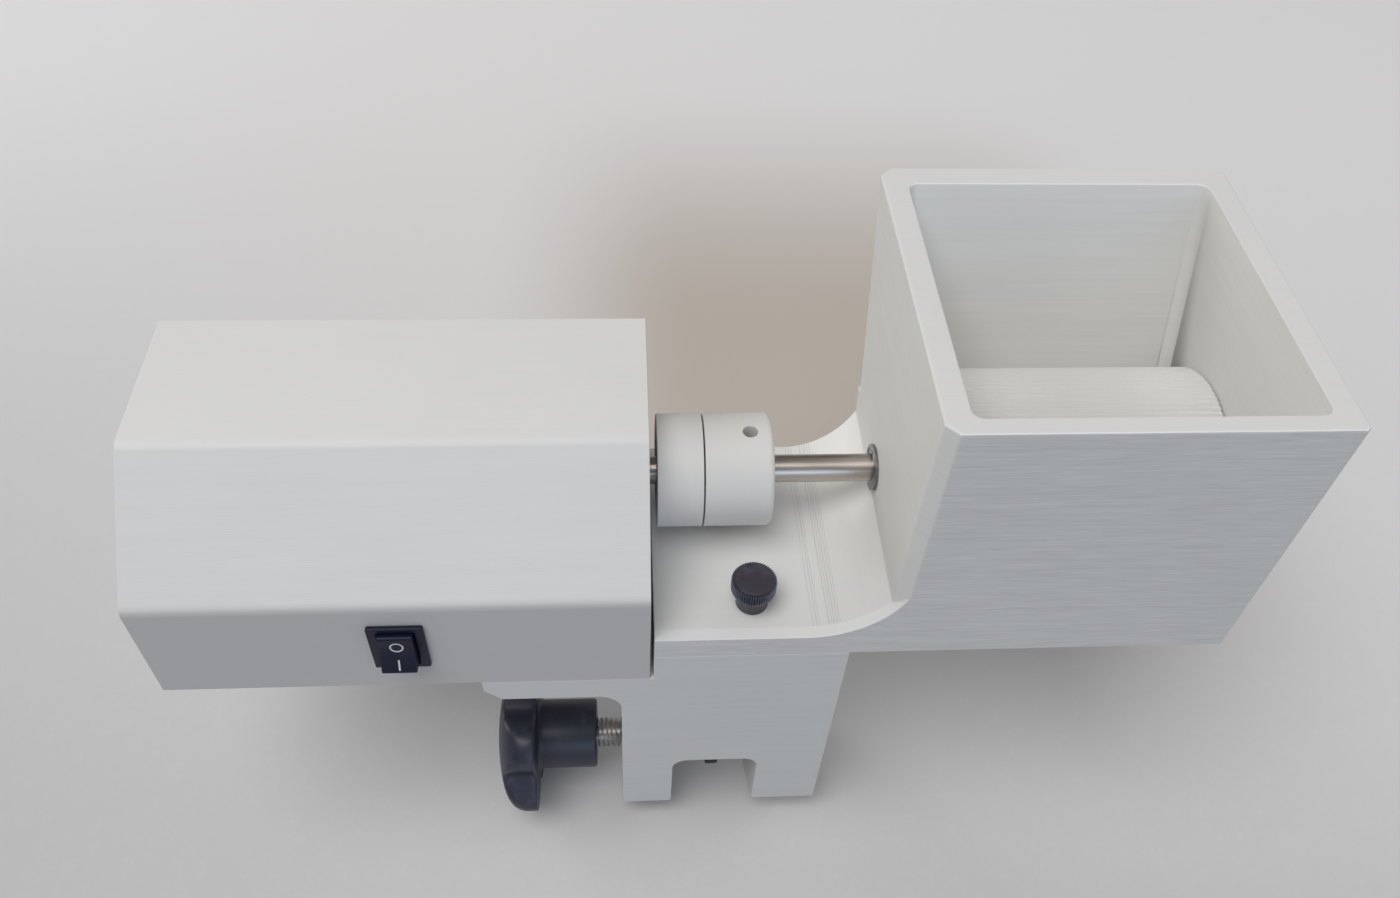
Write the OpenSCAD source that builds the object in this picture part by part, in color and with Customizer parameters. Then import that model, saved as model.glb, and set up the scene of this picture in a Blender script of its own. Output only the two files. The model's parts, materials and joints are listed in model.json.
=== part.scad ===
/* [Drive shaft and coupling] */
// Diameter of the drive shaft and of the motor's output shaft
shaft_d = 8; // [6:0.5:8]
// Diameter of both coupling halves
coupling_d = 32.4; // [30:0.2:34]
// Length of the coupling half on the motor's shaft
motor_coupling_length = 12.8; // [11:0.2:15]
// Length of the coupling half on the drive shaft
shaft_coupling_length = 19.2; // [17:0.2:20]
// Gap between the motor cover and the coupling
coupling_offset = 2.4; // [1.5:0.1:4]
// Open seam between the two coupling halves
coupling_seam = 0.4; // [0.3:0.1:1]
// Height of the drive dogs between the halves
dog_height = 4.5; // [3:0.5:5]
// Diameter of the coupling's grub screws
grub_d = 4.2; // [3:0.2:5]

/* [Roller] */
// Diameter of the roller over its ribs
roller_d = 56.8; // [50:0.2:58]
// Number of ribs around the roller
rib_count = 96; // [48:1:120]
// Depth of the ribs
rib_depth = 0.7; // [0.3:0.1:1.2]
// Gap between the roller and the trough
roller_gap = 0.3; // [0.2:0.1:1]
// Gap between each end of the roller and the side wall
roller_end_gap = 0.5; // [0.3:0.1:2]
// Diameter of the cross pin through roller and shaft
pin_d = 3; // [2:0.5:4]

/* [Hopper] */
// Outer length of the hopper along the shaft
hopper_length = 99.5; // [90:0.5:120]
// Gap between the motor cover and the hopper's left wall
hopper_offset = 65.5; // [62:0.5:72]
// Thickness of the side walls
side_wall = 7; // [5:0.5:9]
// Thickness of the front wall
front_wall = 5; // [3:0.5:7]
// Thickness of the back wall, measured level
back_wall = 7.2; // [5:0.2:9]
// Lean of the back wall from upright
back_lean = 20; // [15:1:25]
// Least plastic between the trough and the back wall's outer face
trough_wall = 1.7; // [1.2:0.1:4]
// Height of the rim above the shaft
rim_height = 64; // [55:1:80]
// Depth of the hopper's underside below the shaft
hopper_drop = 27.5; // [26.5:0.5:28]
// Height at which the front wall meets the sloped floor
floor_height = 6; // [0:1:12]
// Bevel on the hopper's left upright edges
bevel = 3.2; // [1:0.2:4]
// Bevel on the two right upright edges
right_bevel = 1.2; // [0.6:0.2:3]
// Radius of the hopper's inner corners
inner_corner = 3; // [1:0.5:5]
// Thickness of the plate that carries the hopper
plate_thickness = 8.2; // [6:0.2:10]
// Radius of the fillet between the plate and the hopper
plate_fillet = 27; // [26:0.5:32]
// How far that fillet reaches out from the hopper's wall, which it meets in a crease
fillet_reach = 22.5; // [18:0.5:22.5]
// Gap between the motor cover and the plate
plate_gap = 1; // [0.5:0.5:3]

/* [Strainer] */
// Thickness of the strainer
strainer_t = 1.8; // [1.4:0.1:2.2]
// Half of the width of the strainer's opening
strainer_half = 14; // [11:0.5:15]
// Diameter of the strainer's holes
hole_d = 5; // [4:0.5:6]
// Number of strainer holes along the roller
hole_columns = 11; // [8:1:11]
// Number of strainer holes around the roller
hole_rows = 3; // [2:1:3]

/* [Bearings] */
// Outer diameter of the drive shaft's flanged bearings
bearing_d = 12; // [12:0.5:13]
// Flange diameter of those bearings
flange_d = 13.6; // [13.6:0.2:15]
// Length of those bearings with the flange
bearing_length = 3.5; // [3:0.5:5]
// Thickness of the bearing's flange
flange_t = 1; // [0.6:0.1:1.5]

/* [Motor cover] */
// Length of the cover along the shaft
cover_length = 135.5; // [130:0.5:150]
// Wall of the cover
cover_wall = 3; // [2:0.2:3.2]
// Distance of the cover's front face from the shaft, also that of plate and bracket
front_reach = 45; // [43:0.5:48]
// Distance of the cover's back face from the shaft
cover_back = 32.5; // [30:0.5:36]
// Height of the cover's top above the shaft
cover_top = 28.8; // [27.6:0.2:32]
// Depth of the cover's lower edge below the shaft
cover_drop = 39; // [37:0.5:42]
// Depth of the slope's lower edge below the shaft
slope_drop = 0.8; // [0:0.2:2]
// Distance of the slope's upper edge from the shaft
slope_reach = 13.5; // [12:0.5:15]
// Rounding of the slope's two bends
bend_radius = 5; // [2:0.5:8]
// Thickness of the motor base
base_t = 4; // [3:0.5:6]
// Gap between the motor base and the cover
base_gap = 0.3; // [0.2:0.1:1]
// Thickness of the motor bulkhead
bulkhead_t = 5; // [4:0.5:6]
// Gap between the bulkhead and the cover's end wall
bulkhead_gap = 1; // [0.5:0.5:2]

/* [Rocker switch] */
// Width of the switch's frame
switch_w = 15; // [14:0.5:18]
// Height of the switch's frame
switch_h = 19; // [18:0.5:22]
// How far the frame stands out of the cover
switch_rim = 1.5; // [1:0.1:2.5]
// Depth of the switch's body inside the cover
switch_depth = 14; // [12:0.5:18]
// Distance from the cover's right end to the switch
switch_offset = 67.5; // [60:0.5:90]
// Depth of the switch's centre below the shaft
switch_drop = 18; // [16:0.5:19]
// Tilt of the rocker to each side
rocker_tilt = 12; // [8:1:13]

/* [Clamp bracket] */
// Depth of the bracket from front to back
bracket_depth = 36; // [32:1:40]
// Right end of the bracket, from the cover's right end
bracket_right = 56.2; // [54:0.2:60]
// Width of the leg that carries the clamp screw
screw_leg = 16.1; // [14.5:0.1:18]
// Width of the leg that hangs inside the pot
pot_leg = 21.2; // [18:0.2:24]
// Width of the slot between the legs
slot_w = 27.2; // [26:0.2:32]
// Depth of the slot's ceiling below the shaft
slot_drop = 91; // [84:1:96]
// Depth of the legs' feet below the shaft
leg_drop = 120; // [118:1:126]
// Radius of the pot wall that the jaw fits
pot_radius = 80; // [60:5:120]
// Length of the arm past the left leg
arm_length = 39.4; // [34:0.1:42]
// Thickness of the arm
arm_t = 10; // [8:0.2:12]
// Bevel at the arm's end
arm_bevel = 5; // [2:0.5:6]
// Fillet between the arm and the left leg
arm_fillet = 7; // [3:0.5:10]
// Fillets in the slot's upper corners
slot_fillet = 5; // [2:0.5:6]
// Rounding of the legs' feet
foot_radius = 1; // [0.5:0.1:2]

/* [Clamp screw] */
// Thread diameter of the clamp screw
screw_d = 10; // [8:1:10]
// Distance of the clamp screw below the slot's ceiling
screw_below = 13.6; // [13:0.2:15]
// Thickness of the captive nut
nut_t = 8; // [6:0.5:9]
// Width of the captive nut across its flats
nut_af = 16; // [15:0.5:17]
// Diameter of the pressure pad
pad_d = 22.4; // [20:0.4:22.4]
// Thickness of the pressure pad
pad_t = 4; // [3:0.5:5]
// Gap between the left leg and the pad at rest
pad_gap = 11.5; // [9:0.1:12]
// Diameter of the star knob over its lobes
star_d = 49.6; // [44:0.2:54]
// Depth of the hollows between the star knob's lobes
lobe_depth = 7; // [3:0.5:10]
// Number of lobes of the star knob
star_lobes = 5; // [5:1:7]
// Thickness of the star knob's head
star_t = 13; // [11:0.5:15]
// Diameter of the star knob's hub
hub_d = 22.4; // [19:0.2:24]
// Length of the star knob's hub
hub_length = 19.3; // [16:0.1:22]
// Gap between the hub and the left leg at rest
hub_gap = 8.5; // [8:0.1:12]

/* [Thumb screw] */
// Thread diameter of the thumb screw
stud_d = 6; // [5:0.5:6]
// Length of the thumb screw's thread below the plate
stud_reach = 17.5; // [15:0.5:20]
// Distance of the thumb screw from the cover's right end
thumb_offset = 28.7; // [26:0.1:32]
// Distance of the thumb screw from the front face
thumb_inset = 12.3; // [10:0.1:14]
// Diameter of the knurled head
thumb_d = 12.6; // [12:0.2:15]
// Height of the knurled head
thumb_head = 5.4; // [4:0.2:7]
// Diameter of the collar below the head
thumb_collar_d = 9.2; // [8.6:0.2:11]
// Height of the collar
thumb_collar = 6; // [5:0.2:8]
// Number of knurls
knurls = 36; // [24:1:48]

/* [Gear motor] */
// Diameter of the gearbox
gearbox_d = 42; // [40.6:0.2:43]
// Thickness of the gearbox's front plate
gearbox_front_t = 4; // [3:0.5:5]
// Diameter of the boss that centres the gearbox
boss_d = 22; // [20:0.5:24]
// Diameter of the output bearing
output_bearing_d = 16; // [14:0.5:17]
// Length of the output bearing
output_bearing_t = 5; // [4:0.5:6]
// Module of the planetary gears
gear_module = 0.9; // [0.85:0.01:0.9]
// Teeth of each sun and planet
sun_teeth = 12; // [12:12:12]
// Face width of the gears
gear_face = 6.5; // [5:0.5:7]
// Thickness of the planet carriers
carrier_t = 3.2; // [2.5:0.1:4]
// Diameter of the planets' pins
planet_pin_d = 3; // [2:0.5:4]
// Diameter of the motor can
can_d = 38; // [36:0.5:40]
// Length of the motor can
can_length = 60; // [50:1:64]
// Wall of the motor can
can_wall = 1.3; // [1:0.1:2]
// Diameter of the armature
armature_d = 29; // [26:0.5:30]
// Diameter of the motor's own shaft
motor_shaft_d = 3.2; // [3:0.1:4]

/* [Supply] */
// Diameter of the inlet's flange
jack_flange_d = 14; // [13:0.5:16]
// Diameter of the inlet's barrel
jack_d = 11; // [10:0.5:12]
// Distance from the cover's left end to the inlet
jack_inset = 18.5; // [17:0.5:22]
// Depth of the inlet's centre below the shaft
jack_drop = 5; // [0:1:12]
// Diameter of the leads
lead_d = 2; // [1.2:0.1:2.4]

/* [Clearances] */
// Radial clearance of a shaft that turns in a bore
run = 0.05; // [0.02:0.01:0.1]
// Radial clearance of a pressed or screwed piece
seat = 0.02; // [0.01:0.01:0.05]
// Loose clearance around screws and parts that are laid in
loose = 0.2; // [0.1:0.05:0.4]

/* [Hidden] */
$fn = 96;

// The model is worked out from the drive shaft's axis (y = 0, z = 0) and the cover's right end
// (x = 0). The part's own origin is the middle of the slot's ceiling, where the pot's rim seats.
eps = 0.01;
over = 1;

// Bracket
left_leg_x1 = bracket_right - pot_leg - slot_w;
left_leg_x0 = left_leg_x1 - screw_leg;
jaw_x = bracket_right - pot_leg;
slot_x = (left_leg_x1 + jaw_x) / 2;
mid_y = -front_reach + bracket_depth / 2;
rim_seat = [slot_x, mid_y, -slot_drop];
arm_x0 = left_leg_x0 - arm_length;
arm_top = -cover_drop;
jaw_bulge = pot_radius - sqrt(pow(pot_radius, 2) - pow(bracket_depth / 2, 2));

// Clamp screw
screw_z = -slot_drop - screw_below;
pad_x0 = left_leg_x1 + pad_gap;
pad_socket_d = 6;
pad_socket = pad_t - 1.2;
hub_x1 = left_leg_x0 - hub_gap;
hub_x0 = hub_x1 - hub_length;
star_x0 = hub_x0 - star_t;
spindle_x0 = star_x0 + 4;
lobe_start = 58;
star_steps = 90;
nut_x1 = left_leg_x1 - 0.2;

// Hopper
lean_t = tan(back_lean);
trough_r = roller_d / 2 + roller_gap;
outer_back0 = (trough_r + trough_wall) / cos(back_lean);
inner_back0 = outer_back0 - back_wall;
hopper_x0 = hopper_offset;
hopper_x1 = hopper_x0 + hopper_length;
inner_x0 = hopper_x0 + side_wall;
inner_x1 = hopper_x1 - side_wall;
inner_front = -front_reach + front_wall;
plate_bottom = -hopper_drop;
plate_top = plate_bottom + plate_thickness;
plate_back = outer_back0 - hopper_drop * lean_t;
fillet_x0 = hopper_x0 - fillet_reach;
fillet_z = plate_top + plate_fillet;
fillet_end = hopper_x0 + side_wall / 2;
fillet_top = fillet_z - sqrt(pow(plate_fillet, 2) - pow(fillet_end - fillet_x0, 2));
thumb_xy = [thumb_offset, -front_reach + thumb_inset];
thumb_hole_d = stud_d + 3 * loose;

// Strainer
strainer_r = trough_r + 0.05;
flange_top = plate_bottom - 0.2;
strainer_flange = 22;
strainer_flange_t = 2;
strainer_screw_y = 18;
strainer_screw_x = [for (k = [0:2]) hopper_x0 + 15 + k * (hopper_length - 30) / 2];
small_screw_d = 2.8;
small_head_d = 5.6;
small_head = 1.8;
pilot = 4;

// Shaft train
coupling_x0 = coupling_offset;
seam_x = coupling_x0 + motor_coupling_length;
right_half_x0 = seam_x + coupling_seam;
coupling_x1 = right_half_x0 + shaft_coupling_length;
dog_pocket = dog_height + 0.5;
shaft_x0 = right_half_x0 + dog_pocket + 1;
bearing_body = bearing_length - flange_t;
shaft_x1 = hopper_x1 + flange_t;
roller_x0 = inner_x0 + roller_end_gap;
roller_x1 = inner_x1 - roller_end_gap;
pin_x = (roller_x0 + roller_x1) / 2;
grub_x = right_half_x0 + shaft_coupling_length * 2 / 3;
motor_grub_x = coupling_x0 + motor_coupling_length * 0.4;
grub_length = 6;
flat_depth = 0.5;

// Cover
slope_run = front_reach - slope_reach;
slope_rise = cover_top + slope_drop;
slope_angle = atan2(slope_rise, slope_run);
base_z0 = -cover_drop;
base_top = base_z0 + base_t;
post_d = 8.4;
post_screw_d = 2.8;
post_y = [-front_reach + cover_wall + post_d / 2, cover_back - cover_wall - post_d / 2];
post_x = [-cover_length + cover_wall + 8, -cover_wall - bulkhead_gap - bulkhead_t - 10];
post_height = 16;
shaft_hole_d = shaft_d + 5;

// Gears
ring_teeth = 3 * sun_teeth;
planet_teeth = (ring_teeth - sun_teeth) / 2;
orbit = gear_module * (sun_teeth + planet_teeth) / 2;
pressure = 25;
addendum = 0.8;
dedendum = 1;
backlash = 0.06;
ring_root_r = gear_module * (ring_teeth / 2 + dedendum);
carrier_r = gear_module * ring_teeth / 2 - 1.2;

// Gear motor, placed from the bulkhead towards the left
bulkhead_x1 = -cover_wall - bulkhead_gap;
bulkhead_x0 = bulkhead_x1 - bulkhead_t;
front_x0 = bulkhead_x0 - gearbox_front_t;
play = 0.3;
out_disc_x0 = front_x0 - play - carrier_t;
out_gear_x1 = out_disc_x0 - play;
out_gear_x0 = out_gear_x1 - gear_face;
first_disc_x1 = out_gear_x0 - play;
first_disc_x0 = first_disc_x1 - carrier_t;
first_gear_x1 = first_disc_x0 - play;
first_gear_x0 = first_gear_x1 - gear_face;
ring_x0 = first_gear_x0 - play;
back_t = 4;
back_x0 = ring_x0 - back_t;
can_x0 = back_x0 - can_length;
cap_t = 2.5;
gear_screw_r = (gearbox_d / 2 + ring_root_r) / 2;
gear_screw_d = 2;
gear_head_d = 3.2;
gear_head = 1.4;
magnet_inset = 12;
magnet_end = 10;
magnet_gap = 10;
core_inset = 14;
core_end = 12;
commutator_inset = 3;
commutator_length = 9;
lug_y = 12;
lug_w = 4.8;
lug_t = 0.8;
lug_length = 6;
motor_screw_r = boss_d / 2 + 4.6;
motor_screw_d = 3;

// Switch and inlet
switch_x = -switch_offset;
switch_z = -switch_drop;
switch_body_w = switch_w - 2;
switch_body_h = switch_h - 2;
rocker_w = switch_w - 5.6;
rocker_half = switch_h / 2 - 2.6;
rocker_rise = 1.9;
pocket_w = rocker_w + 0.5;
pocket_h = 2 * (rocker_half + 0.7);
rocker_pin_d = 2;
rocker_pivot_y = -front_reach + 1.2;
jack_x = jack_inset - cover_length;
jack_z = -jack_drop;
jack_bore_d = 5.5;
jack_pin_d = 2.1;
jack_flange_t = 2;
jack_depth = 14;
jack_recess = 8;

white = [0.86, 0.86, 0.84];
black = [0.10, 0.10, 0.12];
steel = [0.62, 0.63, 0.65];
brass = [0.80, 0.64, 0.32];

// ---- Shapes that several pieces share ----

// Moves what is drawn from the shaft's axis to the part's own origin
module placed() { translate(-rim_seat) children(); }

// Cylinder along +X that starts at x
module rod(x, length, d, y = 0, z = 0) {
    translate([x, y, z]) rotate([0, 90, 0]) cylinder(h = length, d = d);
}

// Extrudes an outline drawn in Y and Z along X, from x over the length
module along_x(x, length) {
    translate([x, 0, 0]) rotate([90, 0, 90]) linear_extrude(height = length) children();
}

// Extrudes an outline drawn in X and Z along Y, from y over the length
module along_y(y, length) {
    translate([0, y + length, 0]) rotate([90, 0, 0]) linear_extrude(height = length) children();
}

function xy(p) = [p.x, p.y];
function unit(v) = v / norm(v);
function wrapped(a) = a > 180 ? a - 360 : a < -180 ? a + 360 : a;

// Arc that rounds the corner p between the directions u and v by r
function corner_arc(p, u, v, r) =
    let (half = acos(u * v) / 2, centre = p + unit(u + v) * r / sin(half),
         from = p + u * r / tan(half) - centre, to = p + v * r / tan(half) - centre,
         start = atan2(from.y, from.x), turn = wrapped(atan2(to.y, to.x) - start),
         steps = max(3, ceil(abs(turn) / 5)))
    [for (k = [0:steps]) centre + r * [cos(start + turn * k / steps), sin(start + turn * k / steps)]];

// Outline whose corners [x, y, r] are rounded by r
function rounded(corners) =
    let (n = len(corners))
    [for (i = [0:n - 1])
        let (p = xy(corners[i]), u = unit(xy(corners[(i + n - 1) % n]) - p),
             v = unit(xy(corners[(i + 1) % n]) - p), r = corners[i].z)
        each (r == 0 ? [p] : corner_arc(p, u, v, r))];

// Square bar that bevels an edge at the origin along Z by c
module edge_bevel(c, length) {
    translate([0, 0, length / 2]) rotate([0, 0, 45])
        cube([c * sqrt(2), c * sqrt(2), length], center = true);
}

// Machine screw with its head's underside at the origin, the shank down and the head up
module screw(d, length, head_d, head_h, drive = 2) {
    translate([0, 0, -length]) cylinder(h = length + eps, d = d);
    difference() {
        cylinder(h = head_h, d = head_d);
        translate([0, 0, head_h * 0.4]) cylinder(h = head_h, r = drive / 2, $fn = 6);
    }
}

// Half angle in degrees of a tooth of the given number at radius r
function involute_angle(a) = tan(a) * 180 / PI - a;
function tooth_half(teeth, r, extra) =
    let (pitch_r = gear_module * teeth / 2, base_r = pitch_r * cos(pressure),
         a = r > base_r ? acos(base_r / r) : 0)
    90 / teeth + extra / pitch_r * 90 / PI + involute_angle(pressure) - involute_angle(a);

// Outline of a gear from its root to its tip radius, its first tooth on the X axis
function gear_points(teeth, root_r, tip_r, extra) =
    let (base_r = gear_module * teeth / 2 * cos(pressure), low = max(root_r, base_r), steps = 4,
         radii = [for (k = [0:steps]) low + (tip_r - low) * k / steps])
    [for (t = [0:teeth - 1]) let (mid = t * 360 / teeth)
        each concat(
            root_r < low ? [on_circle(root_r, mid - tooth_half(teeth, low, extra))] : [],
            [for (r = radii) on_circle(r, mid - tooth_half(teeth, r, extra))],
            [for (k = [0:steps]) on_circle(radii[steps - k],
                mid + tooth_half(teeth, radii[steps - k], extra))],
            root_r < low ? [on_circle(root_r, mid + tooth_half(teeth, low, extra))] : [])];
function on_circle(r, a) = r * [cos(a), sin(a)];

// External gear of the sun's and planets' tooth form, turned by a
module gear(x, length, teeth, a = 0) {
    pitch_r = gear_module * teeth / 2;
    along_x(x, length) rotate(a)
        polygon(gear_points(teeth, pitch_r - gear_module * dedendum,
            pitch_r + gear_module * addendum, -backlash));
}

// Round wire through points, as one closed skin of eight sides
function ring_at(p, dir, r) =
    let (side = unit(cross(dir, abs(dir.z) > 0.9 * norm(dir) ? [0, 1, 0] : [0, 0, 1])),
         up = unit(cross(side, dir)))
    [for (k = [0:7]) p + r * (side * cos(45 * k) + up * sin(45 * k))];
module wire(points, d) {
    n = len(points);
    dirs = [for (i = [0:n - 1]) unit(unit(points[min(i + 1, n - 1)] - points[min(i, n - 2)])
        + unit(points[max(i, 1)] - points[max(i - 1, 0)]))];
    rings = [for (i = [0:n - 1]) each ring_at(points[i], dirs[i], d / 2)];
    faces = concat([[for (k = [0:7]) k]], [[for (k = [0:7]) n * 8 - 1 - k]],
        [for (i = [0:n - 2], k = [0:7]) [i * 8 + k, (i + 1) * 8 + k, (i + 1) * 8 + (k + 1) % 8,
            i * 8 + (k + 1) % 8]]);
    polyhedron(rings, faces);
}

// ---- Hopper ----

module hopper_outline() {
    polygon([[-front_reach, plate_bottom], [plate_back, plate_bottom],
        [outer_back0 + rim_height * lean_t, rim_height], [-front_reach, rim_height]]);
}

// Cavity above the roller: an upright part, a leaning part and the sloped floor in front
module hopper_cavity() {
    r = inner_corner;
    high = rim_height + over;
    length = inner_x1 - inner_x0;
    back = inner_back0 * cos(back_lean);
    translate([inner_x0, 0, floor_height]) linear_extrude(height = high - floor_height)
        polygon(rounded([[0, inner_front, r], [length, inner_front, r], [length, back - r - over, 0],
            [0, back - r - over, 0]]));
    translate([inner_x0, 0, 0]) rotate([-back_lean, 0, 0]) linear_extrude(height = 2 * high)
        polygon(rounded([[0, -trough_r / 3, 0], [length, -trough_r / 3, 0], [length, back, r],
            [0, back, r]]));
    along_x(inner_x0, length) polygon([[inner_front, floor_height], [inner_front + r, floor_height + over],
        [0, floor_height + over], [0, -trough_r * 0.5], [-trough_r * 0.93, -trough_r * 0.3]]);
}

// Section of the plate and its fillet, which ends inside the hopper's wall
module plate_section() {
    difference() {
        translate([plate_gap, plate_bottom])
            square([fillet_end - plate_gap, fillet_top - plate_bottom]);
        translate([plate_gap - over, plate_top])
            square([fillet_x0 - plate_gap + over, fillet_top - plate_top + over]);
        translate([fillet_x0, fillet_z]) circle(r = plate_fillet);
    }
}

// Bevel on the left upright edge in front, which ends on the fillet
module front_bevel() {
    difference() {
        translate([hopper_x0, -front_reach, plate_top]) edge_bevel(bevel, 2 * rim_height);
        along_y(-front_reach - 2 * bevel, 4 * bevel) plate_section();
    }
}

module hopper_body() {
    color(white) placed() difference() {
        union() {
            along_x(hopper_x0, hopper_length) hopper_outline();
            // plate with its fillet, cut off behind along the hopper's leaning back
            intersection() {
                along_y(-front_reach, front_reach + outer_back0 + plate_fillet) plate_section();
                along_x(plate_gap, hopper_x0 + side_wall / 2 - plate_gap) hopper_outline();
            }
        }
        hopper_cavity();
        rod(inner_x0, inner_x1 - inner_x0, 2 * trough_r);
        // strainer window
        translate([inner_x0, -strainer_half - play, plate_bottom - over])
            cube([inner_x1 - inner_x0, 2 * (strainer_half + play), trough_r]);
        // bearing seats and shaft holes
        rod(hopper_x0 - over, side_wall + 2 * over, bearing_d - 2);
        rod(hopper_x0 - over, bearing_body + over, bearing_d + 2 * seat);
        rod(inner_x1 - over, side_wall + 2 * over, bearing_d - 2);
        rod(hopper_x1 - bearing_body, bearing_body + over, bearing_d + 2 * seat);
        // thumb screw hole
        translate([thumb_xy.x, thumb_xy.y, plate_bottom - over])
            cylinder(h = plate_thickness + 2 * over, d = thumb_hole_d);
        front_bevel();
        translate([hopper_x0, outer_back0, 0]) rotate([-back_lean, 0, 0])
            translate([0, 0, fillet_top]) edge_bevel(bevel, 2 * rim_height);
        translate([hopper_x1, outer_back0, 0]) rotate([-back_lean, 0, 0])
            translate([0, 0, -2 * hopper_drop]) edge_bevel(right_bevel, 4 * rim_height);
        translate([hopper_x1, -front_reach, -2 * hopper_drop]) edge_bevel(right_bevel, 4 * rim_height);
        for (x = strainer_screw_x, side = [-1, 1])
            translate([x, side * strainer_screw_y, plate_bottom - over])
                cylinder(h = pilot + over, d = small_screw_d + 2 * seat);
    }
}

// ---- Strainer ----

module strainer() {
    x0 = inner_x0 + play;
    length = inner_x1 - inner_x0 - 2 * play;
    flange_x0 = hopper_x0 + 2;
    flange_length = hopper_length - 4;
    outer_r = strainer_r + strainer_t;
    color(white) placed() difference() {
        union() {
            // curved sheet
            intersection() {
                difference() {
                    rod(x0, length, 2 * outer_r);
                    rod(x0 - over, length + 2 * over, 2 * strainer_r);
                }
                translate([x0, -strainer_half, -2 * trough_r])
                    cube([length, 2 * strainer_half, 2 * trough_r]);
            }
            // flange on the hopper's underside
            translate([0, 0, flange_top - strainer_flange_t]) difference() {
                translate([flange_x0, -strainer_flange, 0])
                    cube([flange_length, 2 * strainer_flange, strainer_flange_t]);
                translate([x0, 2 - strainer_half, -over])
                    cube([length, 2 * strainer_half - 4, strainer_flange_t + 2 * over]);
            }
        }
        for (i = [0:hole_columns - 1], j = [0:hole_rows - 1])
            translate([x0 + length * (i + 0.5) / hole_columns, 0, 0])
                rotate([(j - (hole_rows - 1) / 2) * 15.5, 0, 0])
                    translate([0, 0, -strainer_r - 6]) cylinder(h = 12, d = hole_d, $fn = 32);
        for (x = strainer_screw_x, side = [-1, 1])
            translate([x, side * strainer_screw_y, flange_top - strainer_flange_t - over])
                cylinder(h = strainer_flange_t + 2 * over, d = small_screw_d + 2 * loose);
    }
}

module strainer_screws() {
    color(steel) placed() for (x = strainer_screw_x, side = [-1, 1])
        translate([x, side * strainer_screw_y, flange_top - strainer_flange_t]) rotate([180, 0, 0])
            screw(small_screw_d, strainer_flange_t + pilot - 0.5, small_head_d, small_head);
}

// ---- Roller and shaft ----

module roller() {
    r = roller_d / 2;
    color(white) placed() difference() {
        along_x(roller_x0, roller_x1 - roller_x0)
            polygon([for (k = [0:2 * rib_count - 1])
                on_circle(k % 2 == 0 ? r : r - rib_depth, k * 180 / rib_count)]);
        rod(roller_x0 - over, roller_x1 - roller_x0 + 2 * over, shaft_d + 2 * run);
        pin_line(roller_d + over, pin_d + 2 * seat);
    }
}

// Cylinder across the shaft's axis at the cross pin's place
module pin_line(length, d) {
    translate([pin_x, length / 2, 0]) rotate([90, 0, 0]) cylinder(h = length, d = d);
}

module roller_pin() { color(steel) placed() pin_line(roller_d - 2 * rib_depth - 2, pin_d); }

module drive_shaft() {
    color(steel) placed() difference() {
        rod(shaft_x0, shaft_x1 - shaft_x0, shaft_d);
        pin_line(2 * shaft_d, pin_d + 2 * seat);
    }
}

// Flanged bearing whose flange faces left from x
module flanged_bearing(x) {
    color(steel) placed() difference() {
        union() {
            rod(x - flange_t, flange_t, flange_d);
            rod(x - flange_t, bearing_length, bearing_d);
        }
        rod(x - flange_t - over, bearing_length + 2 * over, shaft_d + 2 * run);
    }
}

module left_bearing() { flanged_bearing(hopper_x0); }

module right_bearing() {
    color(steel) placed() difference() {
        union() {
            rod(hopper_x1, flange_t, flange_d);
            rod(hopper_x1 - bearing_body, bearing_length, bearing_d);
        }
        rod(hopper_x1 - bearing_body - over, bearing_length + 2 * over, shaft_d + 2 * run);
    }
}

// ---- Coupling ----

// The two drive dogs, grown by c for their pockets
module dogs(x, length, c) {
    outer = coupling_d * 0.39;
    inner = shaft_d / 2 + 2.4;
    for (side = [-1, 1]) translate([x, min(side * inner, side * outer) - c, -4 - c])
        cube([length, outer - inner + 2 * c, 8 + 2 * c]);
}

module motor_coupling() {
    color(white) placed() difference() {
        union() {
            rod(coupling_x0, motor_coupling_length, coupling_d);
            dogs(seam_x - over, dog_height + coupling_seam + over, 0);
        }
        d_bore(coupling_x0 - over, motor_coupling_length + over + eps);
        translate([motor_grub_x, 0, -coupling_d]) cylinder(h = coupling_d, d = grub_d);
    }
}

// Bore with a flat that fits the output shaft
module d_bore(x, length) {
    difference() {
        rod(x, length, shaft_d + 2 * run);
        translate([x - over, -shaft_d, -shaft_d / 2 - over])
            cube([length + 2 * over, 2 * shaft_d, flat_depth - run + over]);
    }
}

module shaft_coupling() {
    edge = 1.5;
    r = coupling_d / 2;
    color(white) placed() difference() {
        translate([right_half_x0, 0, 0]) rotate([90, 0, 90]) rotate_extrude()
            polygon([[0, 0], [r, 0], for (k = [0:6])
                [r - edge + edge * cos(15 * k), shaft_coupling_length - edge + edge * sin(15 * k)],
                [0, shaft_coupling_length]]);
        dogs(right_half_x0 - over, dog_pocket + over, 0.2);
        rod(right_half_x0 + dog_pocket, shaft_coupling_length, shaft_d + 2 * run);
        translate([grub_x, 0, 0]) cylinder(h = coupling_d, d = grub_d);
    }
}

module grub() {
    difference() {
        cylinder(h = grub_length, d = grub_d - 2 * seat);
        translate([0, 0, grub_length / 2]) cylinder(h = grub_length, r = grub_d * 0.26, $fn = 6);
    }
}

module coupling_grub_screws() {
    touch = shaft_d / 2 + run;
    color(steel) placed() {
        translate([grub_x, 0, touch]) grub();
        translate([motor_grub_x, 0, -touch + flat_depth]) rotate([180, 0, 0]) grub();
    }
}

// ---- Motor cover and base ----

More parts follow.
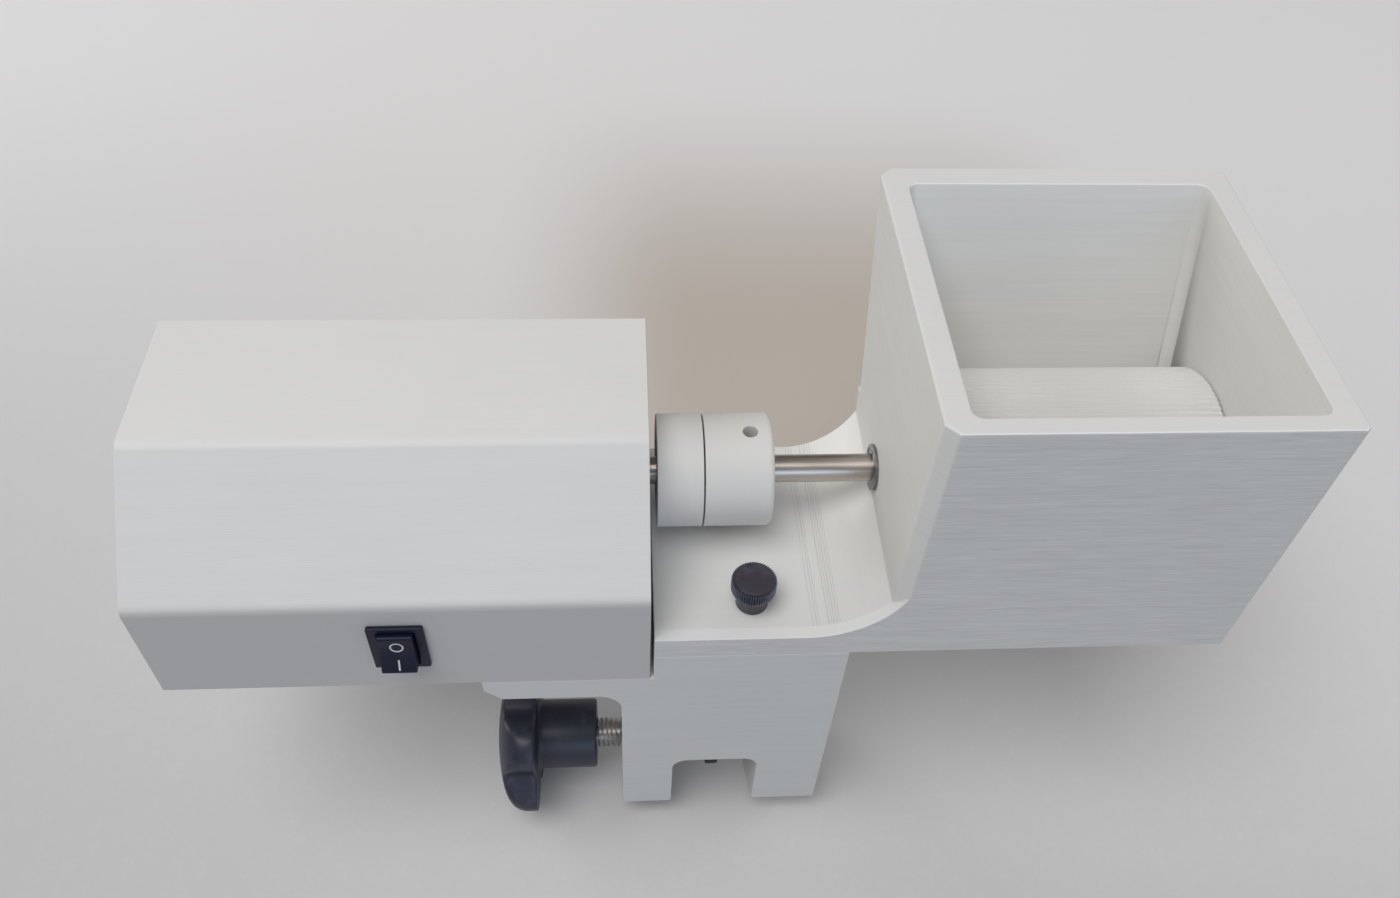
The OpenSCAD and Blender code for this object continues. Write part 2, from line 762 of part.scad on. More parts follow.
// Cover's outline, drawn in by w
module cover_outline(w) {
    shift = w * cos(slope_angle) / (1 + sin(slope_angle));
    top_shift = w * sin(slope_angle) / (1 + cos(slope_angle));
    r = max(bend_radius - w, 0.5);
    low = w == 0 ? -cover_drop : -cover_drop - over;
    polygon(rounded([[-front_reach + w, low, 0], [cover_back - w, low, 0],
        [cover_back - w, cover_top - w, 0], [-slope_reach + top_shift, cover_top - w, r],
        [-front_reach + w, -slope_drop - shift, r]]));
}

module cover_posts() {
    for (x = post_x, k = [0, 1]) {
        y = post_y[k];
        wall = k == 0 ? y - post_d / 2 - eps : y;
        translate([x, y, base_top + 0.2]) cylinder(h = post_height, d = post_d);
        translate([x - post_d / 2, wall, base_top + 0.2])
            cube([post_d, post_d / 2 + eps, post_height]);
    }
}

module motor_cover() {
    color(white) placed() difference() {
        union() {
            difference() {
                along_x(-cover_length, cover_length) cover_outline(0);
                along_x(-cover_length + cover_wall, cover_length - 2 * cover_wall)
                    cover_outline(cover_wall);
            }
            cover_posts();
        }
        for (x = post_x, y = post_y)
            translate([x, y, base_top]) cylinder(h = post_height * 0.7, d = post_screw_d + 2 * seat);
        rod(-cover_wall - over, cover_wall + 2 * over, shaft_hole_d);
        translate([switch_x - switch_body_w / 2 - 0.1, -front_reach - over,
            switch_z - switch_body_h / 2 - 0.1])
            cube([switch_body_w + 0.2, cover_wall + 2 * over, switch_body_h + 0.2]);
        translate([jack_x, cover_back + over, jack_z]) rotate([90, 0, 0])
            cylinder(h = cover_wall + 2 * over, d = jack_d + 2 * loose);
    }
}

arm_screw_d = 4;
arm_screw_x = [arm_x0 + 11, left_leg_x0 - 6];

module motor_base() {
    inset = cover_wall + base_gap;
    x0 = -cover_length + inset;
    color(white) placed() difference() {
        union() {
            translate([x0, -front_reach + inset, base_z0])
                cube([cover_length - 2 * inset, front_reach + cover_back - 2 * inset, base_t]);
            // bulkhead with a round head
            translate([bulkhead_x0, -gearbox_d / 2 - 2, base_z0])
                cube([bulkhead_t, gearbox_d + 4, cover_drop]);
            rod(bulkhead_x0, bulkhead_t, gearbox_d + 4);
        }
        rod(bulkhead_x0 - over, bulkhead_t + 2 * over, boss_d + 2 * loose);
        for (a = [0:90:270]) rotate([a, 0, 0]) {
            rod(bulkhead_x0 - over, bulkhead_t + 2 * over, motor_screw_d + 2 * loose, 0, motor_screw_r);
            rod(bulkhead_x1 - small_head, small_head + over, small_head_d + 2 * loose, 0, motor_screw_r);
        }
        for (x = post_x, y = post_y) translate([x, y, base_z0 - over]) {
            cylinder(h = base_t + 2 * over, d = post_screw_d + 2 * loose);
            cylinder(h = over + small_head + 0.2, d = small_head_d + 2 * loose);
        }
        for (x = arm_screw_x) translate([x, mid_y, base_z0 - over])
            cylinder(h = base_t + 2 * over, d = arm_screw_d + 2 * loose);
    }
}

module cover_screws() {
    color(steel) placed() for (x = post_x, y = post_y)
        translate([x, y, base_z0 + small_head + 0.2]) rotate([180, 0, 0])
            screw(post_screw_d, base_t + post_height * 0.4, small_head_d, small_head);
}

arm_head_d = 7;
arm_head = 2.6;
arm_nut_h = 3.2;
arm_nut_r = 4;

module arm_screws() {
    color(steel) placed() for (x = arm_screw_x)
        translate([x, mid_y, arm_top - arm_t + arm_head]) rotate([180, 0, 0])
            screw(arm_screw_d, arm_t - arm_head + base_t + arm_nut_h + 1.2, arm_head_d, arm_head, 3);
}

module arm_nuts() {
    color(steel) placed() for (x = arm_screw_x) translate([x, mid_y, base_top]) difference() {
        cylinder(h = arm_nut_h, r = arm_nut_r, $fn = 6);
        translate([0, 0, -over]) cylinder(h = arm_nut_h + 2 * over, d = arm_screw_d + 2 * seat);
    }
}

// ---- Gear motor ----

module motor_screws() {
    color(steel) placed() for (a = [0:90:270]) rotate([a, 0, 0])
        translate([bulkhead_x1 - small_head, 0, motor_screw_r]) rotate([0, 90, 0])
            screw(motor_screw_d, bulkhead_t - small_head + gearbox_front_t - 0.8, small_head_d,
                small_head);
}

module gearbox_front() {
    boss = bulkhead_t - 0.5;
    color(steel) placed() difference() {
        union() {
            rod(front_x0, gearbox_front_t, gearbox_d);
            rod(bulkhead_x0 - eps, boss, boss_d);
        }
        rod(front_x0 - over, gearbox_front_t + bulkhead_t + over, shaft_d + 2);
        rod(bulkhead_x0 + boss - output_bearing_t, output_bearing_t + over, output_bearing_d + 2 * seat);
        for (a = [0:90:270]) rotate([a, 0, 0])
            rod(front_x0 + 0.5, gearbox_front_t + over, motor_screw_d + 2 * seat, 0, motor_screw_r);
        for (a = [45:90:315]) rotate([a, 0, 0])
            rod(front_x0 - over, gearbox_front_t - 1 + over, gear_screw_d + 2 * seat, 0, gear_screw_r);
    }
}

module output_bearing() {
    x = bulkhead_x0 + bulkhead_t - 0.5 - output_bearing_t;
    color(steel) placed() difference() {
        rod(x, output_bearing_t, output_bearing_d);
        rod(x - over, output_bearing_t + 2 * over, shaft_d + 2 * run);
    }
}

module ring_gear() {
    pitch_r = gear_module * ring_teeth / 2;
    color(steel) placed() difference() {
        rod(ring_x0, front_x0 - ring_x0, gearbox_d);
        along_x(ring_x0 - over, front_x0 - ring_x0 + 2 * over) rotate(180 / ring_teeth)
            polygon(gear_points(ring_teeth, pitch_r - gear_module * addendum,
                ring_root_r, backlash));
        for (a = [45:90:315]) rotate([a, 0, 0])
            rod(ring_x0 - over, front_x0 - ring_x0 + 2 * over, gear_screw_d + 2 * seat, 0, gear_screw_r);
    }
}

module gearbox_back() {
    color(steel) placed() difference() {
        rod(back_x0, back_t, gearbox_d);
        rod(back_x0 - over, back_t + 2 * over, sun_teeth * gear_module + 3);
        for (a = [45:90:315]) rotate([a, 0, 0]) {
            rod(back_x0 - over, back_t + 2 * over, gear_screw_d + 2 * seat, 0, gear_screw_r);
            rod(back_x0 - over, gear_head + over, gear_head_d + 2 * seat, 0, gear_screw_r);
        }
    }
}

// Long screws whose heads are sunk in the back plate
module gearbox_screws() {
    color(steel) placed() for (a = [45:90:315]) rotate([a, 0, 0])
        translate([back_x0 + gear_head, 0, gear_screw_r]) rotate([0, -90, 0])
            screw(gear_screw_d, front_x0 - back_x0 - gear_head + gearbox_front_t - 1.5,
                gear_head_d, gear_head, 1);
}

// Disc with three pins; its planets run on the left side
module carrier(x, gear_x0) {
    rod(x, carrier_t, 2 * carrier_r);
    for (a = [0:120:240]) rotate([a, 0, 0])
        rod(gear_x0 + 0.3, x - gear_x0 - 0.3 + eps, planet_pin_d, orbit, 0);
}

module output_carrier() {
    color(steel) placed() difference() {
        union() {
            carrier(out_disc_x0, out_gear_x0);
            rod(out_disc_x0 + carrier_t - eps, seam_x - 1 - out_disc_x0 - carrier_t, shaft_d);
        }
        translate([-cover_wall, -shaft_d, -shaft_d / 2 - over])
            cube([seam_x + cover_wall, 2 * shaft_d, flat_depth + over]);
    }
}

// Planet k of a stage, in mesh with a sun whose first tooth lies on +Y
module planet(x, k) {
    phi = 120 * k;
    color(brass) placed() rotate([phi, 0, 0]) translate([0, orbit, 0]) difference() {
        gear(x, gear_face, planet_teeth, 180 - 180 / planet_teeth);
        rod(x - over, gear_face + 2 * over, planet_pin_d + 2 * run);
    }
}

module output_planet_1() { planet(out_gear_x0, 0); }
module output_planet_2() { planet(out_gear_x0, 1); }
module output_planet_3() { planet(out_gear_x0, 2); }
module first_planet_1() { planet(first_gear_x0, 0); }
module first_planet_2() { planet(first_gear_x0, 1); }
module first_planet_3() { planet(first_gear_x0, 2); }

module first_carrier() {
    color(steel) placed() {
        carrier(first_disc_x0, first_gear_x0);
        gear(first_disc_x1 - eps, out_gear_x1 - first_disc_x1, sun_teeth);
    }
}

module motor_pinion() {
    color(brass) placed() difference() {
        gear(ring_x0, first_gear_x1 - ring_x0, sun_teeth);
        rod(ring_x0 - over, first_gear_x1 - ring_x0 + 2 * over, motor_shaft_d + 2 * seat);
    }
}

module rotor() {
    core_x0 = can_x0 + core_inset;
    core_length = can_length - core_inset - core_end;
    slots = 7;
    color(steel) placed() {
        rod(can_x0 - 1, first_gear_x1 - can_x0 + 1, motor_shaft_d);
        difference() {
            rod(core_x0, core_length, armature_d);
            for (k = [0:slots - 1]) rotate([k * 360 / slots, 0, 0])
                translate([core_x0 - over, armature_d * 0.26, -1.2])
                    cube([core_length + 2 * over, armature_d, 2.4]);
        }
        rod(can_x0 + commutator_inset, commutator_length, motor_shaft_d + 6);
    }
}

module motor_can() {
    color(steel) placed() difference() {
        rod(can_x0, can_length, can_d);
        rod(can_x0 - over, can_length + over - 2 * can_wall, can_d - 2 * can_wall);
        rod(can_x0, can_length + over, motor_shaft_d + 2 * run);
    }
}

module motor_magnets() {
    x0 = can_x0 + magnet_inset;
    length = can_length - magnet_inset - magnet_end;
    outer = can_d / 2 - can_wall - 0.05;
    inner = armature_d / 2 + 0.5;
    color(steel) placed() difference() {
        rod(x0, length, 2 * outer);
        rod(x0 - over, length + 2 * over, 2 * inner);
        translate([x0 - over, -can_d, -magnet_gap / 2])
            cube([length + 2 * over, 2 * can_d, magnet_gap]);
    }
}

module motor_end_cap() {
    color(black) placed() difference() {
        union() {
            rod(can_x0 - cap_t, cap_t, can_d);
            rod(can_x0 - eps, 2, can_d - 2 * can_wall - 0.1);
            for (side = [-1, 1])
                translate([can_x0 - cap_t - lug_length, side * lug_y - lug_w / 2, -lug_t / 2])
                    cube([lug_length + 1, lug_w, lug_t]);
        }
        rod(can_x0 - 1.5, 5, motor_shaft_d + 2 * run);
    }
}

// ---- Switch and supply ----

module switch_body() {
    w = switch_w;
    h = switch_h;
    y0 = -front_reach;
    color(black) placed() translate([switch_x, y0, switch_z]) difference() {
        union() {
            translate([-w / 2, -switch_rim, -h / 2]) cube([w, switch_rim, h]);
            translate([-switch_body_w / 2, -eps, -switch_body_h / 2])
                cube([switch_body_w, switch_depth, switch_body_h]);
        }
        translate([-pocket_w / 2, -switch_rim - over, -pocket_h / 2])
            cube([pocket_w, switch_rim + over + switch_depth - 2, pocket_h]);
        rod(-switch_body_w / 2 + 0.2, switch_body_w - 0.4, rocker_pin_d + 2 * run, rocker_pivot_y - y0, 0);
    }
}

// Rocker at rest in the off position: the upper end pressed in
module switch_rocker() {
    front = switch_rim + rocker_pivot_y + front_reach + rocker_rise;
    color(black) placed() translate([switch_x, rocker_pivot_y, switch_z]) rotate([-rocker_tilt, 0, 0])
        union() {
            along_x(-rocker_w / 2, rocker_w) polygon(rounded([[-front, 0, 20],
                [-front - 1.5, rocker_half, 0.8], [2, rocker_half - 0.8, 1], [3, 0, 0],
                [2, -rocker_half + 0.8, 1], [-front - 1.5, -rocker_half, 0.8]]));
            rod(-switch_body_w / 2 + 0.4, switch_body_w - 0.8, rocker_pin_d);
        }
}

module switch_terminals() {
    color(brass) placed() for (z = [-5, 5])
        translate([switch_x - 2.4, -front_reach + switch_depth, switch_z + z - 0.4])
            cube([4.8, 6, 0.8]);
}

module dc_jack() {
    color(black) placed() translate([jack_x, cover_back, jack_z]) rotate([-90, 0, 0]) difference() {
        union() {
            cylinder(h = jack_flange_t, d = jack_flange_d);
            translate([0, 0, -jack_depth]) cylinder(h = jack_depth + eps, d = jack_d);
        }
        translate([0, 0, -jack_recess]) difference() {
            cylinder(h = jack_recess + jack_flange_t + over, d = jack_bore_d);
            translate([0, 0, -over]) cylinder(h = jack_recess + over, d = jack_pin_d);
        }
    }
}

module dc_jack_nut() {
    nut_h = 2.5;
    color(steel) placed() translate([jack_x, cover_back - cover_wall, jack_z]) rotate([90, 0, 0])
        difference() {
            cylinder(h = nut_h, d = jack_flange_d, $fn = 6);
            translate([0, 0, -over]) cylinder(h = nut_h + 2 * over, d = jack_d + 2 * seat);
        }
}

// Leads from the inlet to the switch and the motor, clear of every solid they pass
jack_end = [jack_x, cover_back - jack_depth - 0.2, jack_z];
motor_lug = [can_x0 - cap_t - lug_length + 1, 0, 0];
switch_lug = [switch_x, -front_reach + switch_depth + 5, switch_z];
module leads() {
    up = [0, 0, lead_d / 2 + 0.5];
    color(black) placed() {
        wire([jack_end + [0, 0, 2], jack_end + [0, -6, 2], motor_lug + [-4, 13, 5],
            motor_lug + [0, 13, 5], motor_lug + [0, 12.5, 1] + up], lead_d);
        wire([switch_lug + [0, 0, 5] + up, switch_lug + [-6, 2, 8], switch_lug + [-20, 2, 7],
            motor_lug + [-3, -16, -8], motor_lug + [-2, -12, 3], motor_lug + [0, -12, 1] + up], lead_d);
        wire([jack_end + [0, 0, -2], jack_end + [0, -6, -3], jack_end + [6, -14, -18],
            motor_lug + [4, -20, -26], switch_lug + [-14, 2, -10], switch_lug + [-4, 1, -8],
            switch_lug + [0, 0, -5] - up], lead_d);
    }
}

// ---- Clamp bracket ----

module clamp_bracket() {
    color(white) placed() difference() {
        union() {
            along_y(-front_reach, bracket_depth) polygon(rounded([
                [plate_gap, plate_bottom, 0], [plate_gap, arm_top, 0], [arm_x0, arm_top, 0],
                [arm_x0, arm_top - arm_t + arm_bevel, 0], [arm_x0 + arm_bevel, arm_top - arm_t, 0],
                [left_leg_x0, arm_top - arm_t, arm_fillet], [left_leg_x0, -leg_drop, foot_radius],
                [left_leg_x1, -leg_drop, foot_radius], [left_leg_x1, -slot_drop, slot_fillet],
                [jaw_x, -slot_drop, slot_fillet], [jaw_x, -leg_drop, foot_radius],
                [bracket_right, -leg_drop, foot_radius], [bracket_right, plate_bottom, 0]]));
            // jaw that fits the pot's wall
            intersection() {
                translate([jaw_x - jaw_bulge + pot_radius, mid_y, -leg_drop + foot_radius])
                    cylinder(h = leg_drop - slot_drop, r = pot_radius, $fn = 180);
                translate([jaw_x - jaw_bulge - over, -front_reach, -leg_drop])
                    cube([jaw_bulge + over + 3, bracket_depth, leg_drop - slot_drop + over]);
            }
        }
        // clamp screw hole and the nut's pocket
        rod(left_leg_x0 - over, screw_leg + 2 * over, screw_d + 4 * loose, mid_y, screw_z);
        translate([nut_x1 - nut_t, mid_y, screw_z]) rotate([0, 90, 0])
            cylinder(h = nut_t + over, r = (nut_af / 2 + loose) / cos(30), $fn = 6);
        // insert seat and room for the thumb screw
        translate([thumb_xy.x, thumb_xy.y, plate_bottom - insert_length])
            cylinder(h = insert_length + over, d = insert_d + 2 * seat);
        translate([thumb_xy.x, thumb_xy.y, plate_bottom - stud_reach - 3])
            cylinder(h = stud_reach, d = stud_d + 2 * loose);
        for (x = arm_screw_x) translate([x, mid_y, arm_top - arm_t - over]) {
            cylinder(h = arm_t + 2 * over, d = arm_screw_d + 2 * loose);
            cylinder(h = over + arm_head, d = arm_head_d + 2 * loose);
        }
    }
}

insert_d = 8.6;
insert_length = 10;

module plate_insert() {
    color(brass) placed() translate([thumb_xy.x, thumb_xy.y, plate_bottom - insert_length]) difference() {
        cylinder(h = insert_length - 0.1, d = insert_d);
        translate([0, 0, -over]) cylinder(h = insert_length + 2 * over, d = stud_d + 2 * run);
    }
}

module clamp_nut() {
    color(steel) placed() translate([nut_x1 - nut_t, mid_y, screw_z]) rotate([0, 90, 0]) difference() {
        cylinder(h = nut_t, r = nut_af / 2 / cos(30), $fn = 6);
        translate([0, 0, -over]) cylinder(h = nut_t + 2 * over, d = screw_d + 2 * run);
    }
}

// ---- Thumb screw ----

module thumb_knob() {
    r = thumb_d / 2;
    color(black) placed() translate([thumb_xy.x, thumb_xy.y, plate_top]) difference() {
        union() {
            cylinder(h = thumb_collar, d = thumb_collar_d);
            translate([0, 0, thumb_collar - eps]) linear_extrude(height = thumb_head)
                polygon([for (k = [0:2 * knurls - 1])
                    on_circle(k % 2 == 0 ? r : r - 0.4, k * 180 / knurls)]);
        }
        translate([0, 0, -over]) cylinder(h = over + thumb_collar + 2, d = stud_d + 2 * run);
    }
}

module thumb_stud() {
    z0 = plate_bottom - stud_reach;
    color(steel) placed() translate([thumb_xy.x, thumb_xy.y, z0])
        cylinder(h = plate_top + thumb_collar + 1.5 - z0, d = stud_d);
}

// ---- Clamp screw ----

module clamp_spindle() {
    color(steel) placed() {
        rod(spindle_x0, pad_x0 - spindle_x0 - 0.1, screw_d, mid_y, screw_z);
        rod(pad_x0 - 1, pad_socket + 0.7, pad_socket_d, mid_y, screw_z);
    }
}

// Lobed head of the star knob with a domed outer face
module star_head() {
    r = star_d / 2;
    intersection() {
        along_x(star_x0 - over, star_t + over) polygon([for (k = [0:star_steps - 1])
            let (a = k * 360 / star_steps)
            on_circle(r - lobe_depth * pow(0.5 - 0.5 * cos(star_lobes * a), 1.5), a + lobe_start)]);
        translate([star_x0, 0, 0]) rotate([90, 0, 90]) rotate_extrude()
            polygon([[0, 0], [r - 16, 0.4], [r - 9, 1.6], [r - 5, 2.8], [r - 2.6, 4.4],
                [r - 0.8, 6.8], [r + 0.1, 9], [r + 0.1, star_t - 0.8], [r - 0.8, star_t], [0, star_t]]);
    }
}

module star_knob() {
    color(black) placed() translate([0, mid_y, screw_z]) difference() {
        union() {
            star_head();
            rod(star_x0 + 1, star_t - 1 + hub_length, hub_d);
        }
        rod(spindle_x0, hub_x1 - spindle_x0 + over, screw_d + 2 * seat);
    }
}

module clamp_pad() {
    color(black) placed() translate([0, mid_y, screw_z]) difference() {
        rod(pad_x0, pad_t, pad_d);
        rod(pad_x0 - over, pad_socket + over, pad_socket_d + 2 * run);
    }
}

hopper_body();
strainer();
strainer_screws();
roller();
roller_pin();
drive_shaft();
left_bearing();
right_bearing();
shaft_coupling();
motor_coupling();
coupling_grub_screws();
motor_cover();
motor_base();
cover_screws();
arm_screws();
arm_nuts();
motor_screws();
gearbox_front();
output_bearing();
ring_gear();
gearbox_back();
gearbox_screws();
output_carrier();
output_planet_1();
output_planet_2();
output_planet_3();
first_carrier();
first_planet_1();
first_planet_2();
first_planet_3();
motor_pinion();
rotor();
motor_can();
motor_magnets();
motor_end_cap();
switch_body();
switch_rocker();
switch_terminals();
dc_jack();
dc_jack_nut();
leads();
clamp_bracket();
plate_insert();
clamp_nut();
thumb_knob();
thumb_stud();
clamp_spindle();
star_knob();
clamp_pad();
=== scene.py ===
# %% [markdown]
# # A motor-driven spaetzle maker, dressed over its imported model
# The real machine is printed in matte white plastic: a motor box on the left, a split
# coupling, a steel shaft and a dough hopper with a ribbed roller on the right. A bracket under
# the plate hangs it on a pot's rim, and a black star knob clamps it there.
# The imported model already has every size, so Blender only adds what a camera sees close up:
# softened edges, ribs, threads, knurls, printed layers and brushed steel.

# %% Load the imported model
import json
import math

import bmesh
import bpy
from mathutils import Matrix, Vector
from mathutils.bvhtree import BVHTree


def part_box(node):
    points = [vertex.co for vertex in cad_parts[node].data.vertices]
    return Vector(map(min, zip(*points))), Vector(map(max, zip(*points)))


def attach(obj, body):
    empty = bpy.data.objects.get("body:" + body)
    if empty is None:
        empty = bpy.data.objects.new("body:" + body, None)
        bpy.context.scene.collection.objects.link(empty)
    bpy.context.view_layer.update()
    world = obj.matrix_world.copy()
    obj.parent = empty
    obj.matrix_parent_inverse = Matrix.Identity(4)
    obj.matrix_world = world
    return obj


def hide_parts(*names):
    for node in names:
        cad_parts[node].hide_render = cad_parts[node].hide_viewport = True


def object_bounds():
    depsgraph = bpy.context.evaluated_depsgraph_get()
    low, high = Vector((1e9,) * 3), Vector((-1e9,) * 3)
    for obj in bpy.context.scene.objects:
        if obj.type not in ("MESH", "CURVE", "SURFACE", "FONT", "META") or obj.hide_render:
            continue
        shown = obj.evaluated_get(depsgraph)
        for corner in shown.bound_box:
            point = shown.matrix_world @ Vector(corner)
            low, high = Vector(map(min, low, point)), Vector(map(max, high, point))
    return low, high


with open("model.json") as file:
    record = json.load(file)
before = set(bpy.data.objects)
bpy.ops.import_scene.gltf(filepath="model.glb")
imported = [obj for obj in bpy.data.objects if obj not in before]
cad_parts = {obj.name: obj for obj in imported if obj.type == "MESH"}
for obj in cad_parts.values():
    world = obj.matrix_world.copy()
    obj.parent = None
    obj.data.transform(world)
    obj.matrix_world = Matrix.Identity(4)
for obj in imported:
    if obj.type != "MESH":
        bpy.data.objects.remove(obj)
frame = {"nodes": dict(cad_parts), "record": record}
cad_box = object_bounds()
MM = 0.001
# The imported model's origin is the ceiling of the bracket's slot. The shaft's axis is a handier
# place to measure from, so AXIS is where it meets the right end of the motor cover.
AXIS = Vector((-21.4, 27.0, 91.0)) * MM


def at(x, y, z):
    """A point given in millimetres from the shaft's axis, in the model's own frame."""
    return AXIS + Vector((x, y, z)) * MM


# %% [markdown]
# ## Camera
# A camera is one position, three angles and one focal length. They were worked out from some
# sixty corners and edges of the photograph, so the model's corners fall close to its pixels.
# 36 mm is Blender's sensor width. With the picture's width, it turns a focal length in pixels
# into one in millimetres.

# %% Camera from the fitted angles
PITCH, YAW, ROLL = (math.radians(a) for a in (48.671, -5.687, 3.604))
FOCAL_PIXELS, PHOTO_PIXELS = 1169.126, 1400
OFFSET = Vector((-15.0, -6.03, 334.538)) * MM

turn = Matrix.Rotation(YAW, 3, "Z")
right = turn @ Vector((1, 0, 0))
forward = turn @ Vector((0, math.cos(PITCH), -math.sin(PITCH)))
up = turn @ Vector((0, math.sin(PITCH), math.cos(PITCH)))
side = math.cos(ROLL) * right + math.sin(ROLL) * up
top = math.cos(ROLL) * up - math.sin(ROLL) * right
eye = AXIS - OFFSET.x * side - OFFSET.y * top - OFFSET.z * forward

lens = bpy.data.cameras.new("photo_camera")
lens.sensor_width = 36.0
lens.lens = FOCAL_PIXELS / PHOTO_PIXELS * lens.sensor_width
lens.clip_start, lens.clip_end = 0.01, 20
camera = bpy.data.objects.new("photo_camera", lens)
camera.matrix_world = Matrix((side, top, -forward)).transposed().to_4x4()
camera.location = eye
bpy.context.scene.collection.objects.link(camera)
bpy.context.scene.camera = camera
bpy.context.scene.view_settings.view_transform = "Standard"
print("camera at", [round(v, 4) for v in eye], "lens", round(lens.lens, 2), "mm")

# %% [markdown]
# ## Floor and light
# The photograph was taken over a pale board in soft daylight. Surfaces that look up are the
# brightest, those that face the photographer are darker and a little bluer, and the shade lies
# behind the machine. So one lamp three metres wide hangs above and a little in front, another
# stands behind on the left and lights the left walls, a third stands on the right, a low bluish
# one lights the fronts, and a dim warm world fills the shade.
# The board looks pale to the camera but throws little light back, through the Light Path node,
# or else it would brighten every face that looks down or forward.


# %% Floor, lamps and world
def flat_floor(z, half):
    """A square board at height z, which reaches half its width each way."""
    mesh = bpy.data.meshes.new("board")
    mesh.from_pydata(
        [(-half, -half, z), (half, -half, z), (half, half, z), (-half, half, z)],
        [], [(0, 1, 2, 3)])
    board = bpy.data.objects.new("board", mesh)
    bpy.context.scene.collection.objects.link(board)
    return board


board = flat_floor(cad_box[0].z, 4.0)


def soft_lamp(name, where, size, watts, colour):
    """A round lamp size metres wide, which shines at the origin."""
    data = bpy.data.lights.new(name, "AREA")
    data.shape, data.size, data.energy, data.color = "DISK", size, watts, colour
    lamp = bpy.data.objects.new(name, data)
    lamp.location = where
    lamp.rotation_euler = (-Vector(where)).to_track_quat("-Z", "Y").to_euler()
    bpy.context.scene.collection.objects.link(lamp)


soft_lamp("sky_window", (-1.1, -1.0, 3.85), 3.0, 96.0, (1.0, 0.992, 0.98))
soft_lamp("left_wall", (-2.9, 1.8, 1.3), 2.4, 42.0, (1.0, 0.985, 0.965))
soft_lamp("right_wall", (3.4, 0.8, 1.6), 2.4, 20.0, (1.0, 0.985, 0.97))
soft_lamp("front_fill", (0.8, -3.4, 1.0), 2.0, 21.0, (0.59, 0.76, 1.0))

world = bpy.data.worlds.new("daylight")
world.use_nodes = True
bpy.context.scene.world = world
sky = world.node_tree.nodes["Background"]
sky.inputs["Color"].default_value = (1.0, 0.975, 0.95, 1)
sky.inputs["Strength"].default_value = 0.17

# %% [markdown]
# ## Node trees written like sums
# Shader groups and Geometry Nodes are both graphs of small sums. Written node by node they
# take pages, so a Wire stands for one socket, and adding or multiplying two wires places the
# Math node and links it. The trees that come out are ordinary ones, and can be opened and
# edited in Blender.


# %% Wires, trees and sockets
class Wire:
    """One socket of a tree, which can be added, multiplied and compared."""

    def __init__(self, tree, socket):
        self.tree, self.socket = tree, socket

    def math(self, operation, *others, clamp=False):
        node = self.tree.nodes.new("ShaderNodeMath")
        node.operation, node.use_clamp = operation, clamp
        for i, value in enumerate((self, *others)):
            join(self.tree, value, node.inputs[i])
        return Wire(self.tree, node.outputs[0])

    def __add__(self, other): return self.math("ADD", other)
    def __radd__(self, other): return self.math("ADD", other)
    def __sub__(self, other): return self.math("SUBTRACT", other)
    def __rsub__(self, other): return Wire.number(self.tree, other).math("SUBTRACT", self)
    def __mul__(self, other): return self.math("MULTIPLY", other)
    def __rmul__(self, other): return self.math("MULTIPLY", other)
    def __truediv__(self, other): return self.math("DIVIDE", other)
    def cos(self): return self.math("COSINE")
    def sin(self): return self.math("SINE")
    def smooth(self, low, high):
        """0 below low, 1 above high, with a soft step between."""
        node = self.tree.nodes.new("ShaderNodeMapRange")
        node.interpolation_type = "SMOOTHSTEP"
        for name, value in (("Value", self), ("From Min", low), ("From Max", high)):
            join(self.tree, value, node.inputs[name])
        return Wire(self.tree, node.outputs["Result"])

    @staticmethod
    def number(tree, value):
        node = tree.nodes.new("ShaderNodeValue")
        node.outputs[0].default_value = value
        return Wire(tree, node.outputs[0])


def join(tree, value, socket):
    """Links a wire to a socket, or sets the socket to a plain value."""
    if isinstance(value, Wire):
        tree.links.new(value.socket, socket)
    else:
        socket.default_value = value


def put(tree, kind, output=0, settings=(), **values):
    """Places a node, sets or links its inputs by name, and gives one of its outputs."""
    node = tree.nodes.new(kind)
    for name, value in dict(settings).items():
        setattr(node, name, value)
    for name, value in values.items():
        join(tree, value, node.inputs[int(name[1:]) if name[1:].isdigit() else
                                      name.replace("_", " ")])
    return Wire(tree, node.outputs[output])


def new_tree(name, kind, inputs, outputs):
    """A group with named sockets. Gives the tree, its input wires and its output node."""
    tree = bpy.data.node_groups.new(name, kind)
    for label, socket_kind, value in inputs:
        socket = tree.interface.new_socket(label, in_out="INPUT", socket_type=socket_kind)
        if value is not None:
            socket.default_value = value
    for label, socket_kind in outputs:
        tree.interface.new_socket(label, in_out="OUTPUT", socket_type=socket_kind)
    source = tree.nodes.new("NodeGroupInput")
    wires = {label: Wire(tree, source.outputs[label]) for label, _, _ in inputs}
    return tree, wires, tree.nodes.new("NodeGroupOutput")


FLOAT, VECTOR, INT = "NodeSocketFloat", "NodeSocketVector", "NodeSocketInt"
print("helpers ready")

# %% [markdown]
# ## Printed plastic
# A printer lays plastic in thin flat layers, so an upright wall shows fine level lines that are
# long and never quite even, and a top face shows the nozzle's straight passes. Both are the
# same noise squeezed hard in one direction: across the layers it changes every third of a
# millimetre, along them every few centimetres. One group makes it from a position and a
# normal, and each material turns those first if its piece was printed lying another way.


